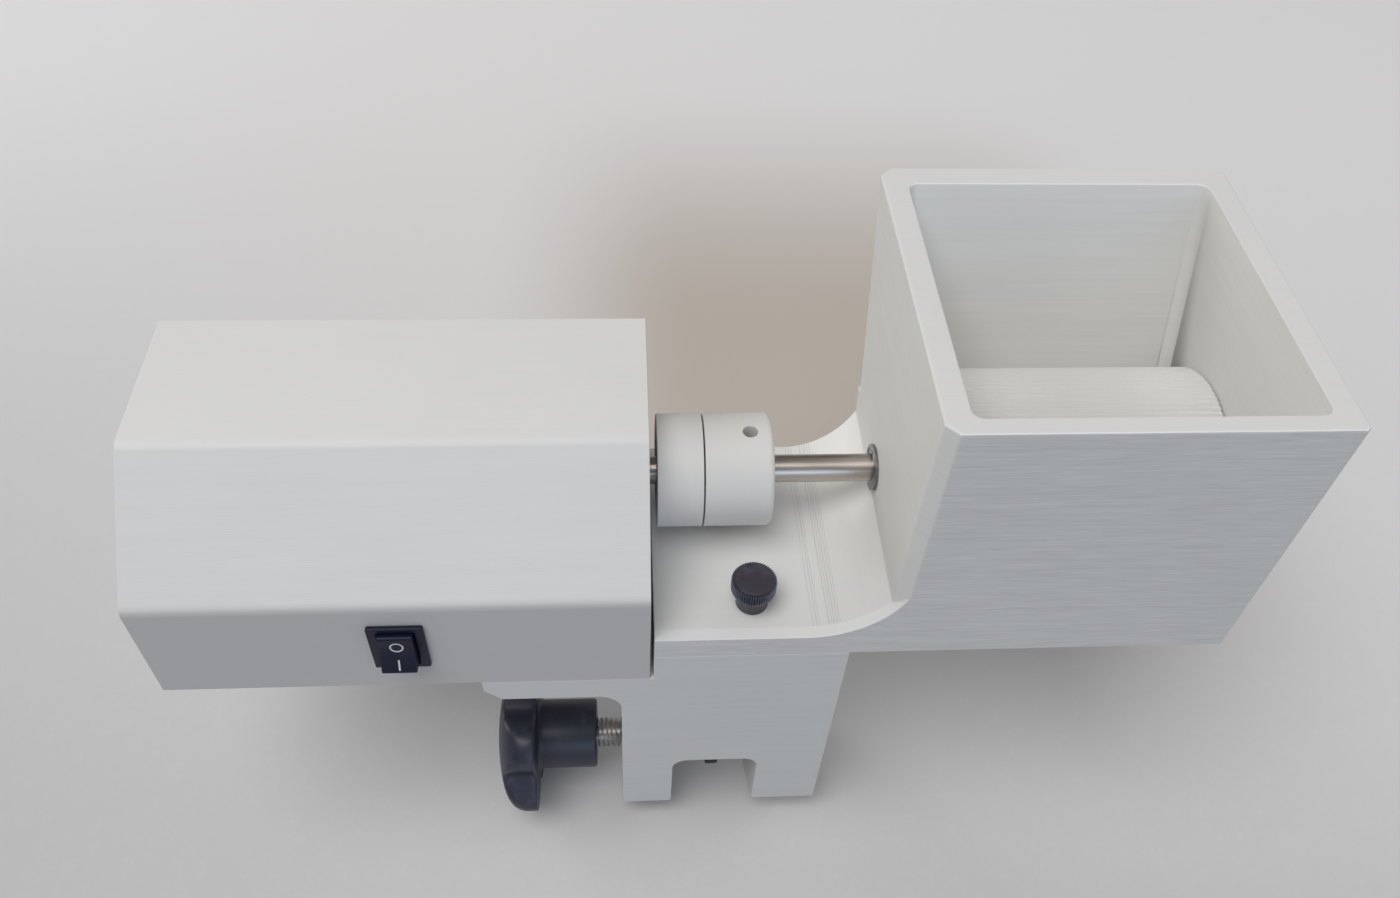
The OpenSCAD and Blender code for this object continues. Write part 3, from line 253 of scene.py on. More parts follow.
# %% Shader group for printed layers
def squeezed_noise(tree, vector, scale, detail=2.0, rough=0.5):
    """Noise with its own scale along each axis."""
    stretched = put(tree, "ShaderNodeVectorMath", settings={"operation": "MULTIPLY"},
                    _0=vector, _1=scale)
    return put(tree, "ShaderNodeTexNoise", output="Fac", settings={"noise_dimensions": "3D"},
               Vector=stretched, Scale=1.0, Detail=detail, Roughness=rough)


def split(tree, vector):
    """The x, y and z of a vector."""
    node = tree.nodes.new("ShaderNodeSeparateXYZ")
    join(tree, vector, node.inputs[0])
    return [Wire(tree, s) for s in node.outputs]


def make_layer_group():
    tree, wires, out = new_tree(
        "printed_layers", "ShaderNodeTree",
        [("Position", VECTOR, None), ("Normal", VECTOR, None), ("Layer Height", FLOAT, 0.0003)],
        [("Shade", FLOAT), ("Height", FLOAT), ("Gloss", FLOAT)])
    position = wires["Position"]
    flat = split(tree, wires["Normal"])[2].math("ABSOLUTE").smooth(0.80, 0.97)
    z = split(tree, position)[2]
    fine = squeezed_noise(tree, position, (28, 28, 2300), 3.0, 0.6)
    coarse = squeezed_noise(tree, position, (34, 34, 900), 4.0, 0.7)
    walls = fine * 0.45 + coarse * 0.55
    passes = squeezed_noise(tree, position, (26, 1500, 300), 3.0, 0.6)
    lines = walls + (passes - walls) * flat
    steep = 1.0 - split(tree, wires["Normal"])[2].math("ABSOLUTE").smooth(0.2, 0.6)
    ridges = (z * (2 * math.pi) / wires["Layer Height"]).sin() * 0.5 + 0.5
    cloud = squeezed_noise(tree, position, (26, 26, 60), 3.0)
    seam = squeezed_noise(tree, position, (9, 9, 420), 1.0)
    shade = (lines - 0.5) * (steep * 1.3 + 0.5) + (cloud - 0.5) * 0.5 + (seam - 0.5) * 0.4
    cells = put(tree, "ShaderNodeTexVoronoi", output="Distance", Vector=position, Scale=95.0)
    speck = 1.0 - cells.smooth(0.02, 0.055)
    join(tree, shade - speck * 0.35 + 0.5, out.inputs["Shade"])
    join(tree, lines * (steep * 1.2 + 0.6) + ridges * 0.35 * (1.0 - flat) + seam * 0.5 + speck,
         out.inputs["Height"])
    join(tree, lines * 0.6 + cloud * 0.4, out.inputs["Gloss"])
    return tree


layer_group = make_layer_group()
print("group", layer_group.name, len(layer_group.nodes), "nodes")

# %% [markdown]
# ## Drawn metal and moulded grain
# Bright shafts and screws are drawn or turned, which leaves hair-thin scratches along one
# direction. Moulded black plastic has the opposite: an even, fine grain with no direction, and
# a faint dust that lightens it in patches. Each of these is one more group, so that every
# steel, brass or plastic piece shares it with its own numbers.


# %% Shader groups for drawn metal and moulded grain
def make_metal_group():
    tree, wires, out = new_tree(
        "drawn_metal", "ShaderNodeTree",
        [("Position", VECTOR, None), ("Stretch", VECTOR, (60, 5200, 5200))],
        [("Shade", FLOAT), ("Height", FLOAT), ("Gloss", FLOAT)])
    hairs = squeezed_noise(tree, wires["Position"], wires["Stretch"], 4.0, 0.65)
    bands = squeezed_noise(tree, wires["Position"], (18, 640, 640), 2.0)
    smudge = squeezed_noise(tree, wires["Position"], (160, 160, 160), 3.0)
    join(tree, (hairs - 0.5) * 0.8 + (bands - 0.5) * 1.3 + 0.5, out.inputs["Shade"])
    join(tree, hairs, out.inputs["Height"])
    join(tree, hairs * 0.5 + smudge * 0.5, out.inputs["Gloss"])
    return tree


def make_grain_group():
    tree, wires, out = new_tree(
        "moulded_grain", "ShaderNodeTree",
        [("Position", VECTOR, None), ("Grain", FLOAT, 2400.0)],
        [("Shade", FLOAT), ("Height", FLOAT), ("Gloss", FLOAT)])
    grain = put(tree, "ShaderNodeTexNoise", output="Fac", Vector=wires["Position"],
                Scale=wires["Grain"], Detail=2.0, Roughness=0.6)
    dust = squeezed_noise(tree, wires["Position"], (220, 220, 220), 5.0, 0.7)
    wear = squeezed_noise(tree, wires["Position"], (70, 70, 70), 2.0)
    join(tree, dust.smooth(0.48, 0.78) * 0.7 + (grain - 0.5) * 0.5 + wear * 0.25,
         out.inputs["Shade"])
    join(tree, grain, out.inputs["Height"])
    join(tree, dust * 0.6 + grain * 0.4, out.inputs["Gloss"])
    return tree


metal_group = make_metal_group()
grain_group = make_grain_group()
print("groups", metal_group.name, grain_group.name)

# %% [markdown]
# ## Materials
# Each material is one Principled shader fed by one of the three groups. The group's Shade
# picks a colour between a darker and a lighter one, its Gloss does the same for roughness, and
# its Height goes through a Bump node. What is the same all over, such as Metallic or Specular,
# is typed into the shader itself.


# %% A material from a group and a few numbers
def tinted(tree, tint, other, share):
    """The tint mixed with another colour by a share between 0 and 1."""
    mix = tree.nodes.new("ShaderNodeMix")
    mix.data_type = "RGBA"
    pair = [s for s in mix.inputs if s.type == "RGBA"]
    for value, socket in ((tint, pair[0]), (other, pair[1])):
        if isinstance(value, tuple):
            socket.default_value = value
        else:
            tree.links.new(value, socket)
    tree.links.new(share.socket, mix.inputs["Factor"])
    return next(s for s in mix.outputs if s.type == "RGBA")


def finish(name, group, dark, light, rough, bump, metallic=0.0, extra=(), spin=None,
           colour=None, **shader):
    """A material from a group. dark and light bound its colour and rough its roughness, bump is
    its relief in metres, spin turns the group's pattern, colour is a function that changes the
    tint, and shader holds inputs of the Principled node."""
    material = bpy.data.materials.new(name)
    material.use_nodes = True
    tree = material.node_tree
    principled = tree.nodes["Principled BSDF"]
    place = tree.nodes.new("ShaderNodeTexCoord")
    position, normal = Wire(tree, place.outputs["Object"]), Wire(tree, place.outputs["Normal"])
    if spin:
        position, normal = (put(tree, "ShaderNodeMapping", Vector=v, Rotation=spin)
                            for v in (position, normal))
    node = tree.nodes.new("ShaderNodeGroup")
    node.node_tree = group
    tree.links.new(position.socket, node.inputs["Position"])
    if "Normal" in node.inputs:
        tree.links.new(normal.socket, node.inputs["Normal"])
    for label, value in dict(extra).items():
        node.inputs[label].default_value = value
    shade, height, gloss = (Wire(tree, node.outputs[k]) for k in ("Shade", "Height", "Gloss"))
    tint = tinted(tree, (*dark, 1), (*light, 1), shade)
    if colour:
        tint = colour(tree, tint, position, normal)
    tree.links.new(tint, principled.inputs["Base Color"])
    join(tree, gloss * (rough[1] - rough[0]) + rough[0], principled.inputs["Roughness"])
    relief = tree.nodes.new("ShaderNodeBump")
    relief.inputs["Strength"].default_value = 1.0
    relief.inputs["Distance"].default_value = bump
    join(tree, height, relief.inputs["Height"])
    tree.links.new(relief.outputs["Normal"], principled.inputs["Normal"])
    principled.inputs["Metallic"].default_value = metallic
    for label, value in shader.items():
        principled.inputs[label.replace("_", " ")].default_value = value
    return material


WHITE_DARK, WHITE_LIGHT = (0.735, 0.735, 0.720), (0.815, 0.815, 0.802)
ALONG_X = (0, math.radians(90), 0)
white = finish("white_walls", layer_group, WHITE_DARK, WHITE_LIGHT, (0.42, 0.62), 0.00003)
white_turned = finish("white_turned", layer_group, (0.740, 0.730, 0.705), (0.768, 0.758, 0.734),
                      (0.45, 0.60), 0.000006, spin=ALONG_X)


def painted_wall_shade(tree, tint, position, normal):
    """Painted shade: upright walls are painted darker, as if their layer edges shaded each other.
    """
    upright = 1.0 - split(tree, normal)[2].math("ABSOLUTE").smooth(0.25, 0.6)
    return tinted(tree, tint, (0.615, 0.605, 0.60, 1), upright * 0.85)


def plate_marks_and_rim_highlight(tree, tint, position, normal):
    """Thin lines and a paler border on the plate, short ridges on the front wall, and a painted
    highlight along the rim's front bevel."""
    x, y, z = split(tree, position)
    _, toward, upward = split(tree, normal)
    drift = squeezed_noise(tree, position, (40, 60, 40), 1.0)
    run = x + y * 0.0205 + (drift - 0.5) * 0.0003
    lines = None
    for start, width in PLATE_LINES:
        line = 1.0 - (run - start).math("ABSOLUTE").smooth(width * 0.3, width)
        lines = line if lines is None else lines.math("MAXIMUM", line)
    top = upward.smooth(0.30, 0.60) * (1.0 - z.smooth(0.090, 0.094)) * z.smooth(0.0690, 0.0700)
    border = y.smooth(-0.0146, -0.0141)
    tint = tinted(tree, tint, (0.52, 0.51, 0.485, 1), lines * top * border * 0.55)
    tint = tinted(tree, tint, (0.90, 0.905, 0.91, 1), top * (1.0 - border) * 0.45)
    front = (0.0 - toward).smooth(0.80, 0.95) * (0.0 - y).smooth(0.012, 0.016)
    dashes = squeezed_noise(tree, position, (75, 75, 1700), 3.0, 0.6)
    tint = tinted(tree, tint, (0.655, 0.64, 0.655, 1),
                  front * (1.0 - dashes.smooth(0.36, 0.50)) * 0.45)
    tint = tinted(tree, tint, (0.92, 0.90, 0.92, 1), front * dashes.smooth(0.54, 0.66) * 0.35)
    # Painted highlight: the rim's front bevel, which faces forward and up, is painted paler.
    edge = (0.0 - toward).smooth(0.12, 0.40) * upward.smooth(0.25, 0.60) * z.smooth(0.15, 0.152)
    return tinted(tree, tint, (0.93, 0.93, 0.945, 1), edge)


# Where the lines start, measured along X, and how wide each is, in metres
PLATE_LINES = ((0.0236, 0.00016), (0.0246, 0.00022), (0.0253, 0.00014), (0.0279, 0.00022),
               (0.0287, 0.00018), (0.0294, 0.00024), (0.0302, 0.00018), (0.0309, 0.00014))
# The cover's material has painted shade on its upright walls.
white_cover = finish("white_cover", layer_group, WHITE_DARK, WHITE_LIGHT, (0.42, 0.62), 0.00003,
                     colour=painted_wall_shade)
# The plate's material carries print lines and a painted highlight along the rim.
white_plate = finish("white_plate", layer_group, WHITE_DARK, WHITE_LIGHT, (0.42, 0.62), 0.00003,
                     colour=plate_marks_and_rim_highlight)
steel = finish("drawn_steel", metal_group, (0.35, 0.31, 0.275), (0.65, 0.585, 0.53),
               (0.22, 0.42), 0.000004, 1.0)
bright = finish("bearing_steel", metal_group, (0.17, 0.165, 0.17), (0.34, 0.335, 0.34),
                (0.22, 0.36), 0.000002, 1.0, extra={"Stretch": (900, 900, 900)})
screw_metal = finish("screw_steel", metal_group, (0.46, 0.45, 0.44), (0.74, 0.72, 0.70),
                     (0.24, 0.42), 0.000003, 1.0, extra={"Stretch": (1500, 1500, 1500)})
black_metal = finish("black_steel", metal_group, (0.02, 0.02, 0.024), (0.06, 0.06, 0.066),
                     (0.3, 0.5), 0.000003, 0.6, extra={"Stretch": (1500, 1500, 1500)})
gear_metal = finish("gear_steel", metal_group, (0.30, 0.30, 0.31), (0.48, 0.48, 0.49),
                    (0.25, 0.45), 0.000003, 1.0, extra={"Stretch": (300, 4000, 4000)})
cast_metal = finish("gearbox_metal", metal_group, (0.42, 0.42, 0.43), (0.58, 0.58, 0.59),
                    (0.35, 0.55), 0.000008, 1.0, extra={"Stretch": (1200, 1200, 1200)})
plated = finish("zinc_plate", metal_group, (0.44, 0.45, 0.47), (0.62, 0.63, 0.65),
                (0.2, 0.4), 0.000003, 1.0, extra={"Stretch": (400, 400, 400)})
brass = finish("brass", metal_group, (0.50, 0.34, 0.12), (0.72, 0.54, 0.24),
               (0.2, 0.38), 0.000003, 1.0, extra={"Stretch": (900, 900, 900)})
iron = finish("magnet_iron", metal_group, (0.035, 0.035, 0.038), (0.09, 0.09, 0.095),
              (0.5, 0.7), 0.00001, 0.4, extra={"Stretch": (1500, 1500, 1500)})
black = finish("black_plastic", grain_group, (0.017, 0.021, 0.038), (0.058, 0.066, 0.112),
               (0.34, 0.50), 0.00001)
switch_black = finish("switch_black", grain_group, (0.007, 0.009, 0.026), (0.017, 0.021, 0.052),
                      (0.36, 0.50), 0.00001, Specular_IOR_Level=0.25)


def painted_knurl_highlight(tree, tint, position, normal):
    """Painted highlight: the tips of the knurl are painted paler and bluer than the rest of the
    thumb screw, where they catch the light.
    """
    low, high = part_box("thumb_knob")
    x, y, z = split(tree, position)
    x, y = x - (low.x + high.x) / 2, y - (low.y + high.y) / 2
    radius = (x * x + y * y).math("SQRT")
    return tinted(tree, tint, (0.17, 0.18, 0.25, 1), radius.smooth(0.00585, 0.0063))


# The thumb screw's material has a painted highlight on its knurl's tips.
purple_black = finish("black_knurl", grain_group, (0.036, 0.032, 0.046), (0.094, 0.086, 0.118),
                      (0.32, 0.46), 0.00001, colour=painted_knurl_highlight)
rubber = finish("black_rubber", grain_group, (0.012, 0.012, 0.014), (0.05, 0.05, 0.052),
                (0.6, 0.8), 0.00002, extra={"Grain": 1500.0})
sheath = finish("lead_sheath", grain_group, (0.010, 0.010, 0.012), (0.035, 0.035, 0.04),
                (0.2, 0.35), 0.000004, extra={"Grain": 900.0})
ink = finish("mark_ink", grain_group, (0.62, 0.66, 0.70), (0.76, 0.78, 0.80), (0.4, 0.6),
             0.000003)


def dim_unless_seen(tree, tint, position, normal):
    """The colour as it is for the camera and for mirrors, and a darker one for other rays. Light
    and shade are painted on it: it grows paler towards the back and the right and darker towards
    the left, and a browner painted shadow lies behind the machine, where the photograph's board
    lies in a soft shade."""
    x, y, _ = split(tree, position)
    # Painted light and shade: paler towards the back, darker towards the left and front, paler
    # towards the right.
    tint = tinted(tree, tint, (0.84, 0.835, 0.845, 1), y.smooth(-0.30, 0.60))
    tint = tinted(tree, tint, (0.42, 0.415, 0.42, 1),
                  (0.0 - x).smooth(0.0, 0.42) * (1.0 - y.smooth(0.0, 0.50)) * 0.40)
    tint = tinted(tree, tint, (0.84, 0.83, 0.84, 1), x.smooth(0.10, 0.45) * 0.5)
    # Painted shadow: a browner patch on the board behind the machine.
    shade = (1.0 - y.smooth(0.22, 0.44)) * y.smooth(0.02, 0.10)
    shade = shade * (1.0 - (x - 0.08).math("ABSOLUTE").smooth(0.07, 0.18))
    tint = tinted(tree, tint, (0.53, 0.475, 0.425, 1), shade)
    path = tree.nodes.new("ShaderNodeLightPath")
    hidden = 1.0 - Wire(tree, path.outputs["Is Camera Ray"]).math(
        "MAXIMUM", Wire(tree, path.outputs["Is Glossy Ray"]))
    return tinted(tree, tint, (0.36, 0.35, 0.34, 1), hidden)


board.data.materials.append(finish("pale_board", grain_group, (0.588, 0.582, 0.588),
                                   (0.640, 0.634, 0.640), (0.75, 0.9), 0.00002,
                                   extra={"Grain": 700.0}, colour=dim_unless_seen))
print("materials", len(bpy.data.materials))

# %% [markdown]
# ## Materials of the frame's own pieces
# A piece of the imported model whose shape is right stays, and only gets a better material. The
# record names a material slot for each, so one table turns slots into Blender's materials.

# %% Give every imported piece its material
BY_SLOT = {
    "white_print": white, "screw_steel": screw_metal, "shaft_steel": steel,
    "bearing_steel": bright, "black_steel": black_metal, "gearbox_metal": cast_metal,
    "gear_steel": gear_metal, "can_steel": plated, "magnet": iron, "brass": brass,
    "black_plastic": black, "black_rubber": rubber, "lead_sheath": sheath}
SLOT_OF = {p["node"]: p["material_slot"] for p in frame["record"]["subparts"]}
BODY_OF = {n: b for b, names in frame["record"]["behaviour"]["bodies"].items() for n in names}
for name, node in frame["nodes"].items():
    node.data.materials.clear()
    node.data.materials.append(BY_SLOT[SLOT_OF[name]])
print("dressed", len(frame["nodes"]), "packed pieces")


def take_over(piece, node):
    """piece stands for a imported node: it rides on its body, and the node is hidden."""
    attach(piece, BODY_OF[node])
    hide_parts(node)


# %% [markdown]
# ## Softened edges
# No printed or moulded edge is truly sharp, and the thin bright line along an edge is what
# makes a solid look real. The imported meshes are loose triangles, so a copy is first merged and
# its flat triangles dissolved into whole faces. Then only the real edges are sharp. They are
# found by their angle and weighted for the Bevel modifier. The Weighted Normal modifier keeps
# the big faces flat, so that only the narrow bevel catches the light.


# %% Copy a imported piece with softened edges
SAME_POINT, FLAT_ANGLE = 2e-6, math.radians(0.4)  # in metres, and in radians
SMOOTH_BELOW, SMOOTH_IN_BOXES = 34, 62  # degrees between two faces of a softened piece


def merged_copy(node):
    """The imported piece's mesh with whole faces instead of loose triangles."""
    mesh = frame["nodes"][node].data.copy()
    work = bmesh.new()
    work.from_mesh(mesh)
    bmesh.ops.remove_doubles(work, verts=work.verts, dist=SAME_POINT)
    bmesh.ops.dissolve_limit(work, angle_limit=FLAT_ANGLE, verts=work.verts, edges=work.edges,
                             use_dissolve_boundaries=False)
    work.to_mesh(mesh)
    work.free()
    return mesh


def as_object(name, mesh, material):
    """A mesh with one material, as an object in the scene."""
    mesh.materials.clear()
    mesh.materials.append(material)
    piece = bpy.data.objects.new(name, mesh)
    bpy.context.scene.collection.objects.link(piece)
    return piece


def bake_modifiers(piece):
    """Turns the object with its modifiers into a plain mesh, and removes the modifiers."""
    graph = bpy.context.evaluated_depsgraph_get()
    mesh = bpy.data.meshes.new_from_object(piece.evaluated_get(graph), depsgraph=graph,
                                           preserve_all_data_layers=True)
    piece.modifiers.clear()
    piece.data = mesh
    mesh.name = piece.name


def within(point, boxes):
    """Whether a point lies in one of the boxes, each given by two corners."""
    return any(all(a < p < b for a, p, b in zip(low, point, high)) for low, high in boxes)


def smooth_by_angle(mesh, angle, round_boxes=()):
    """Edges sharper than the angle stay sharp, and in the boxes only those much sharper."""
    work = bmesh.new()
    work.from_mesh(mesh)
    for face in work.faces:
        face.smooth = True
    for edge in work.edges:
        middle = (edge.verts[0].co + edge.verts[1].co) / 2
        limit = math.radians(SMOOTH_IN_BOXES if within(middle, round_boxes) else angle)
        edge.smooth = len(edge.link_faces) == 2 and edge.calc_face_angle() < limit
    work.to_mesh(mesh)
    work.free()


def mark_edges(mesh, angle, inside=(), wide=(), share=1.0):
    """Weights the edges to bevel: those sharper than the angle, but none inside the boxes. The
    edges in the wide boxes get the whole width and the others a share of it."""
    work = bmesh.new()
    work.from_mesh(mesh)
    weight = work.edges.layers.float.new("bevel_weight_edge")
    for edge in work.edges:
        middle = (edge.verts[0].co + edge.verts[1].co) / 2
        edge[weight] = (1.0 if within(middle, wide) else share) * float(
            edge.calc_face_angle() > math.radians(angle) and not within(middle, inside))
    work.to_mesh(mesh)
    work.free()


def softened(name, node, width, material, angle=28, inside=(), wide=(), most=0):
    """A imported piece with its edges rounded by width, or by most in the wide boxes, in metres."""
    piece = as_object(name, merged_copy(node), material)
    most = max(most, width)
    mark_edges(piece.data, angle, inside, wide, width / most)
    bevel = piece.modifiers.new("edges", "BEVEL")
    bevel.width, bevel.segments, bevel.limit_method = most, 2, "WEIGHT"
    bevel.use_clamp_overlap = False
    bpy.context.view_layer.update()
    bake_modifiers(piece)
    smooth_by_angle(piece.data, SMOOTH_BELOW, inside)
    normals = piece.modifiers.new("normals", "WEIGHTED_NORMAL")
    normals.keep_sharp, normals.weight = True, 90
    bake_modifiers(piece)
    take_over(piece, node)
    print(name, len(piece.data.polygons), "faces, edges softened by", width * 1000, "mm")
    return piece


# Inside the hopper, where the sloped floor runs out into the rounded corners, a bevel would
# fold over itself, so the edges below the floor's upper end stay as they are.
# The rim's outer edges and the bracket's upper front edge are rounder than the others.
softened("hopper_shell", "hopper_body", 0.00035, white_plate,
         inside=((at(70, -41, -26), at(160, 62, 62)), (at(64, 19, -29), at(68, 26, -24))),
         wide=((at(64, -46, 63), at(167, -44, 65)), (at(64, -46, 63), at(66, 80, 65)),
               (at(64, -46, 63), at(69, -41, 65)), (at(163, -46, 63), at(167, 80, 65))),
         most=0.0009)
softened("pot_bracket", "clamp_bracket", 0.0003, white,
         wide=((at(-20, -46, -29), at(70, -44, -26)),), most=0.0007)
for row in (("cover_shell", "motor_cover", 0.0003, white_cover),
            ("base_tray", "motor_base", 0.0003, white),
            ("shaft_half", "shaft_coupling", 0.0003, white_turned),
            ("motor_half", "motor_coupling", 0.0003, white_turned),
            ("pressure_pad", "clamp_pad", 0.0006, rubber),
            ("switch_frame", "switch_body", 0.0005, switch_black)):
    softened(*row)
rocker = softened("rocker_cap", "switch_rocker", 0.0003, switch_black, angle=35)
softened("shaft_rod", "drive_shaft", 0.0004, steel, angle=40)
softened("inlet_socket", "dc_jack", 0.0003, black)

# %% [markdown]
# ## The ribbed roller
# The roller has 96 fine ribs. They repeat by one simple rule, the radius follows a cosine of
# the angle, so this is a shape for Geometry Nodes: four flat grids are bent into the outer
# skin, two end faces and the bore, each by moving every point to an angle and a radius. The
# grids share their border points, and Merge by Distance sews them into one closed skin.


# %% A tree that bends grids into a turned shape
SEAM = 0.000004  # points closer than this, in metres, become one


def bent_grid(tree, around, rows, place):
    """A grid whose points are moved to place(angle, share), share running from 0 to 1."""
    grid = put(tree, "GeometryNodeMeshGrid", output="Mesh", Size_X=1.0, Size_Y=1.0,
               Vertices_X=around, Vertices_Y=rows)
    position = put(tree, "GeometryNodeInputPosition")
    x, y, _ = split(tree, position)
    angle, share = (x + 0.5) * (2 * math.pi), y + 0.5
    along, radius = place(angle, share)
    spot = tree.nodes.new("ShaderNodeCombineXYZ")
    for i, value in enumerate((along, radius * angle.cos(), radius * angle.sin())):
        join(tree, value, spot.inputs[i])
    return put(tree, "GeometryNodeSetPosition", Geometry=grid, Position=Wire(tree, spot.outputs[0]))


def end_tree(tree, shape, material, out):
    """The end of every tree: Realize Instances, then Set Material."""
    real = put(tree, "GeometryNodeRealizeInstances", Geometry=shape)
    last = tree.nodes.new("GeometryNodeSetMaterial")
    last.inputs["Material"].default_value = material
    tree.links.new(real.socket, last.inputs["Geometry"])
    tree.links.new(last.outputs[0], out.inputs[0])


def sew(tree, parts, material, out):
    """Joins the bent grids, sews their borders and ends the tree."""
    group = tree.nodes.new("GeometryNodeJoinGeometry")
    for part in reversed(parts):
        tree.links.new(part.socket, group.inputs[0])
    sewn = put(tree, "GeometryNodeMergeByDistance", Geometry=Wire(tree, group.outputs[0]),
               Distance=SEAM)
    end_tree(tree, sewn, material, out)


def grown(name, tree, sizes, smooth=40, start=None):
    """An object made by a tree with its inputs set by identifier, as a plain mesh."""
    piece = bpy.data.objects.new(name, start or bpy.data.meshes.new(name))
    bpy.context.scene.collection.objects.link(piece)
    modifier = piece.modifiers.new("grow", "NODES")
    modifier.node_group = tree
    for item in tree.interface.items_tree:
        if item.in_out == "INPUT" and item.name in sizes:
            modifier[item.identifier] = sizes[item.name]
    bpy.context.view_layer.update()
    bake_modifiers(piece)
    work = bmesh.new()
    work.from_mesh(piece.data)
    bmesh.ops.recalc_face_normals(work, faces=work.faces)
    work.to_mesh(piece.data)
    work.free()
    smooth_by_angle(piece.data, smooth)
    return piece


def moved(piece, offset):
    """Puts a piece's place into its mesh, so that its object stays at the origin."""
    piece.data.transform(Matrix.Translation(offset))


print("bending helpers ready")


# %% Geometry Nodes tree for the roller
def make_roller_tree():
    tree, size, out = new_tree(
        "ribbed_roller", "GeometryNodeTree",
        [("Geometry", "NodeSocketGeometry", None), ("Length", FLOAT, 0.0845),
         ("Radius", FLOAT, 0.0284), ("Bore", FLOAT, 0.00405), ("Ribs", INT, 96),
         ("Rib Depth", FLOAT, 0.0007), ("Bevel", FLOAT, 0.0006), ("Points Around", INT, 769)],
        [("Geometry", "NodeSocketGeometry")])

    def ridge(angle):
        wave = (angle * size["Ribs"]).cos() * 0.5 + 0.5
        return size["Radius"] - (1.0 - wave.math("POWER", 0.6)) * size["Rib Depth"]

    def skin(angle, share):
        edge = share * 9.0
        inset = (1.0 - edge).math("MAXIMUM", edge - 8.0).math("MAXIMUM", 0.0) * size["Bevel"]
        step = ((edge - 1.0) / 7.0).math("MINIMUM", 1.0).math("MAXIMUM", 0.0)
        first, last = edge.math("MINIMUM", 1.0), (edge - 8.0).math("MAXIMUM", 0.0)
        along = (first + last) * size["Bevel"] + step * (size["Length"] - size["Bevel"] * 2.0)
        return along, ridge(angle) - inset

    def end(x):
        def face(angle, share):
            outer = ridge(angle) - size["Bevel"]
            return x, size["Bore"] + (outer - size["Bore"]) * share
        return face

    def bore(angle, share):
        return share * size["Length"], size["Bore"]

    around = size["Points Around"]
    parts = [bent_grid(tree, around, 10, skin),
             bent_grid(tree, around, 2, end(Wire.number(tree, 0.0))),
             bent_grid(tree, around, 2, end(size["Length"])), bent_grid(tree, around, 2, bore)]
    sew(tree, parts, white_turned, out)
    return tree


low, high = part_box("roller")
roller = grown("ribbed_roller", make_roller_tree(), {"Length": high.x - low.x})
moved(roller, Vector((low.x, AXIS.y, AXIS.z)))
take_over(roller, "roller")
print("roller", len(roller.data.polygons), "faces")

# %% [markdown]
# ## Threads
# A screw thread is the same idea with one more term: the radius depends on how far along the
# screw a point is, minus how far round it is. That difference makes the groove climb by one
# pitch in each turn. The clamp screw and the thumb screw share the tree and differ in pitch.


# %% Geometry Nodes tree for a thread
def make_thread_tree():
    tree, size, out = new_tree(
        "screw_thread", "GeometryNodeTree",
        [("Geometry", "NodeSocketGeometry", None), ("Length", FLOAT, 0.06),
         ("Radius", FLOAT, 0.005), ("Pitch", FLOAT, 0.0015), ("Depth", FLOAT, 0.0008),
         ("Rows", INT, 400), ("Points Around", INT, 41)],
        [("Geometry", "NodeSocketGeometry")])

    def radius(angle, along):
        turn = (along / size["Pitch"] - angle / (2 * math.pi)).math("FRACT")
        tooth = ((turn - 0.5).math("ABSOLUTE") * 2.4 - 0.1).math("MINIMUM", 1.0)
        ends = along.smooth(0.0, size["Pitch"]) * (size["Length"] - along).smooth(
            0.0, size["Pitch"])
        groove = 1.0 - tooth.math("MAXIMUM", 0.0) * ends
        return size["Radius"] - groove * size["Depth"]

    def skin(angle, share):
        along = share * size["Length"]
        return along, radius(angle, along)

    def cap(x):
        return lambda angle, share: (x, radius(angle, x) * share)

    around = size["Points Around"]
    parts = [bent_grid(tree, around, size["Rows"], skin),
             bent_grid(tree, around, 2, cap(Wire.number(tree, 0.0))),
             bent_grid(tree, around, 2, cap(size["Length"]))]
    sew(tree, parts, screw_metal, out)
    return tree


thread_tree = make_thread_tree()


def threaded(name, length, pitch, depth, diameter):
    """A threaded rod with eight rows of points for each turn of its thread."""
    rows = int(length / pitch * 8)
    return grown(name, thread_tree, {"Length": length, "Radius": diameter / 2, "Pitch": pitch,
                                     "Depth": depth, "Rows": rows})


low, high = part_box("clamp_spindle")
mid = (low + high) / 2
spindle = threaded("clamp_thread", high.x - low.x - 0.0025, 0.0015, 0.0008, high.y - low.y)
moved(spindle, Vector((low.x, mid.y, mid.z)))
take_over(spindle, "clamp_spindle")
low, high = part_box("thumb_stud")
mid = (low + high) / 2
stud = threaded("thumb_thread_rod", high.z - low.z, 0.001, 0.0005, high.x - low.x)
stud.data.transform(Matrix.Rotation(math.radians(-90), 4, "Y"))
moved(stud, Vector((mid.x, mid.y, low.z)))
take_over(stud, "thumb_stud")
print("threads", len(spindle.data.polygons), len(stud.data.polygons), "faces")

# %% [markdown]
# ## The star knob
# A clamping knob is moulded with five fat lobes, a domed outer face and a round hub behind.
# Every ring of the shape is the same five-lobed outline, drawn in a little or cut short by the
# dome's radius at that place. The cut is a soft minimum of the two radii, which rounds the rim
# all the way round the lobes and the hollows.


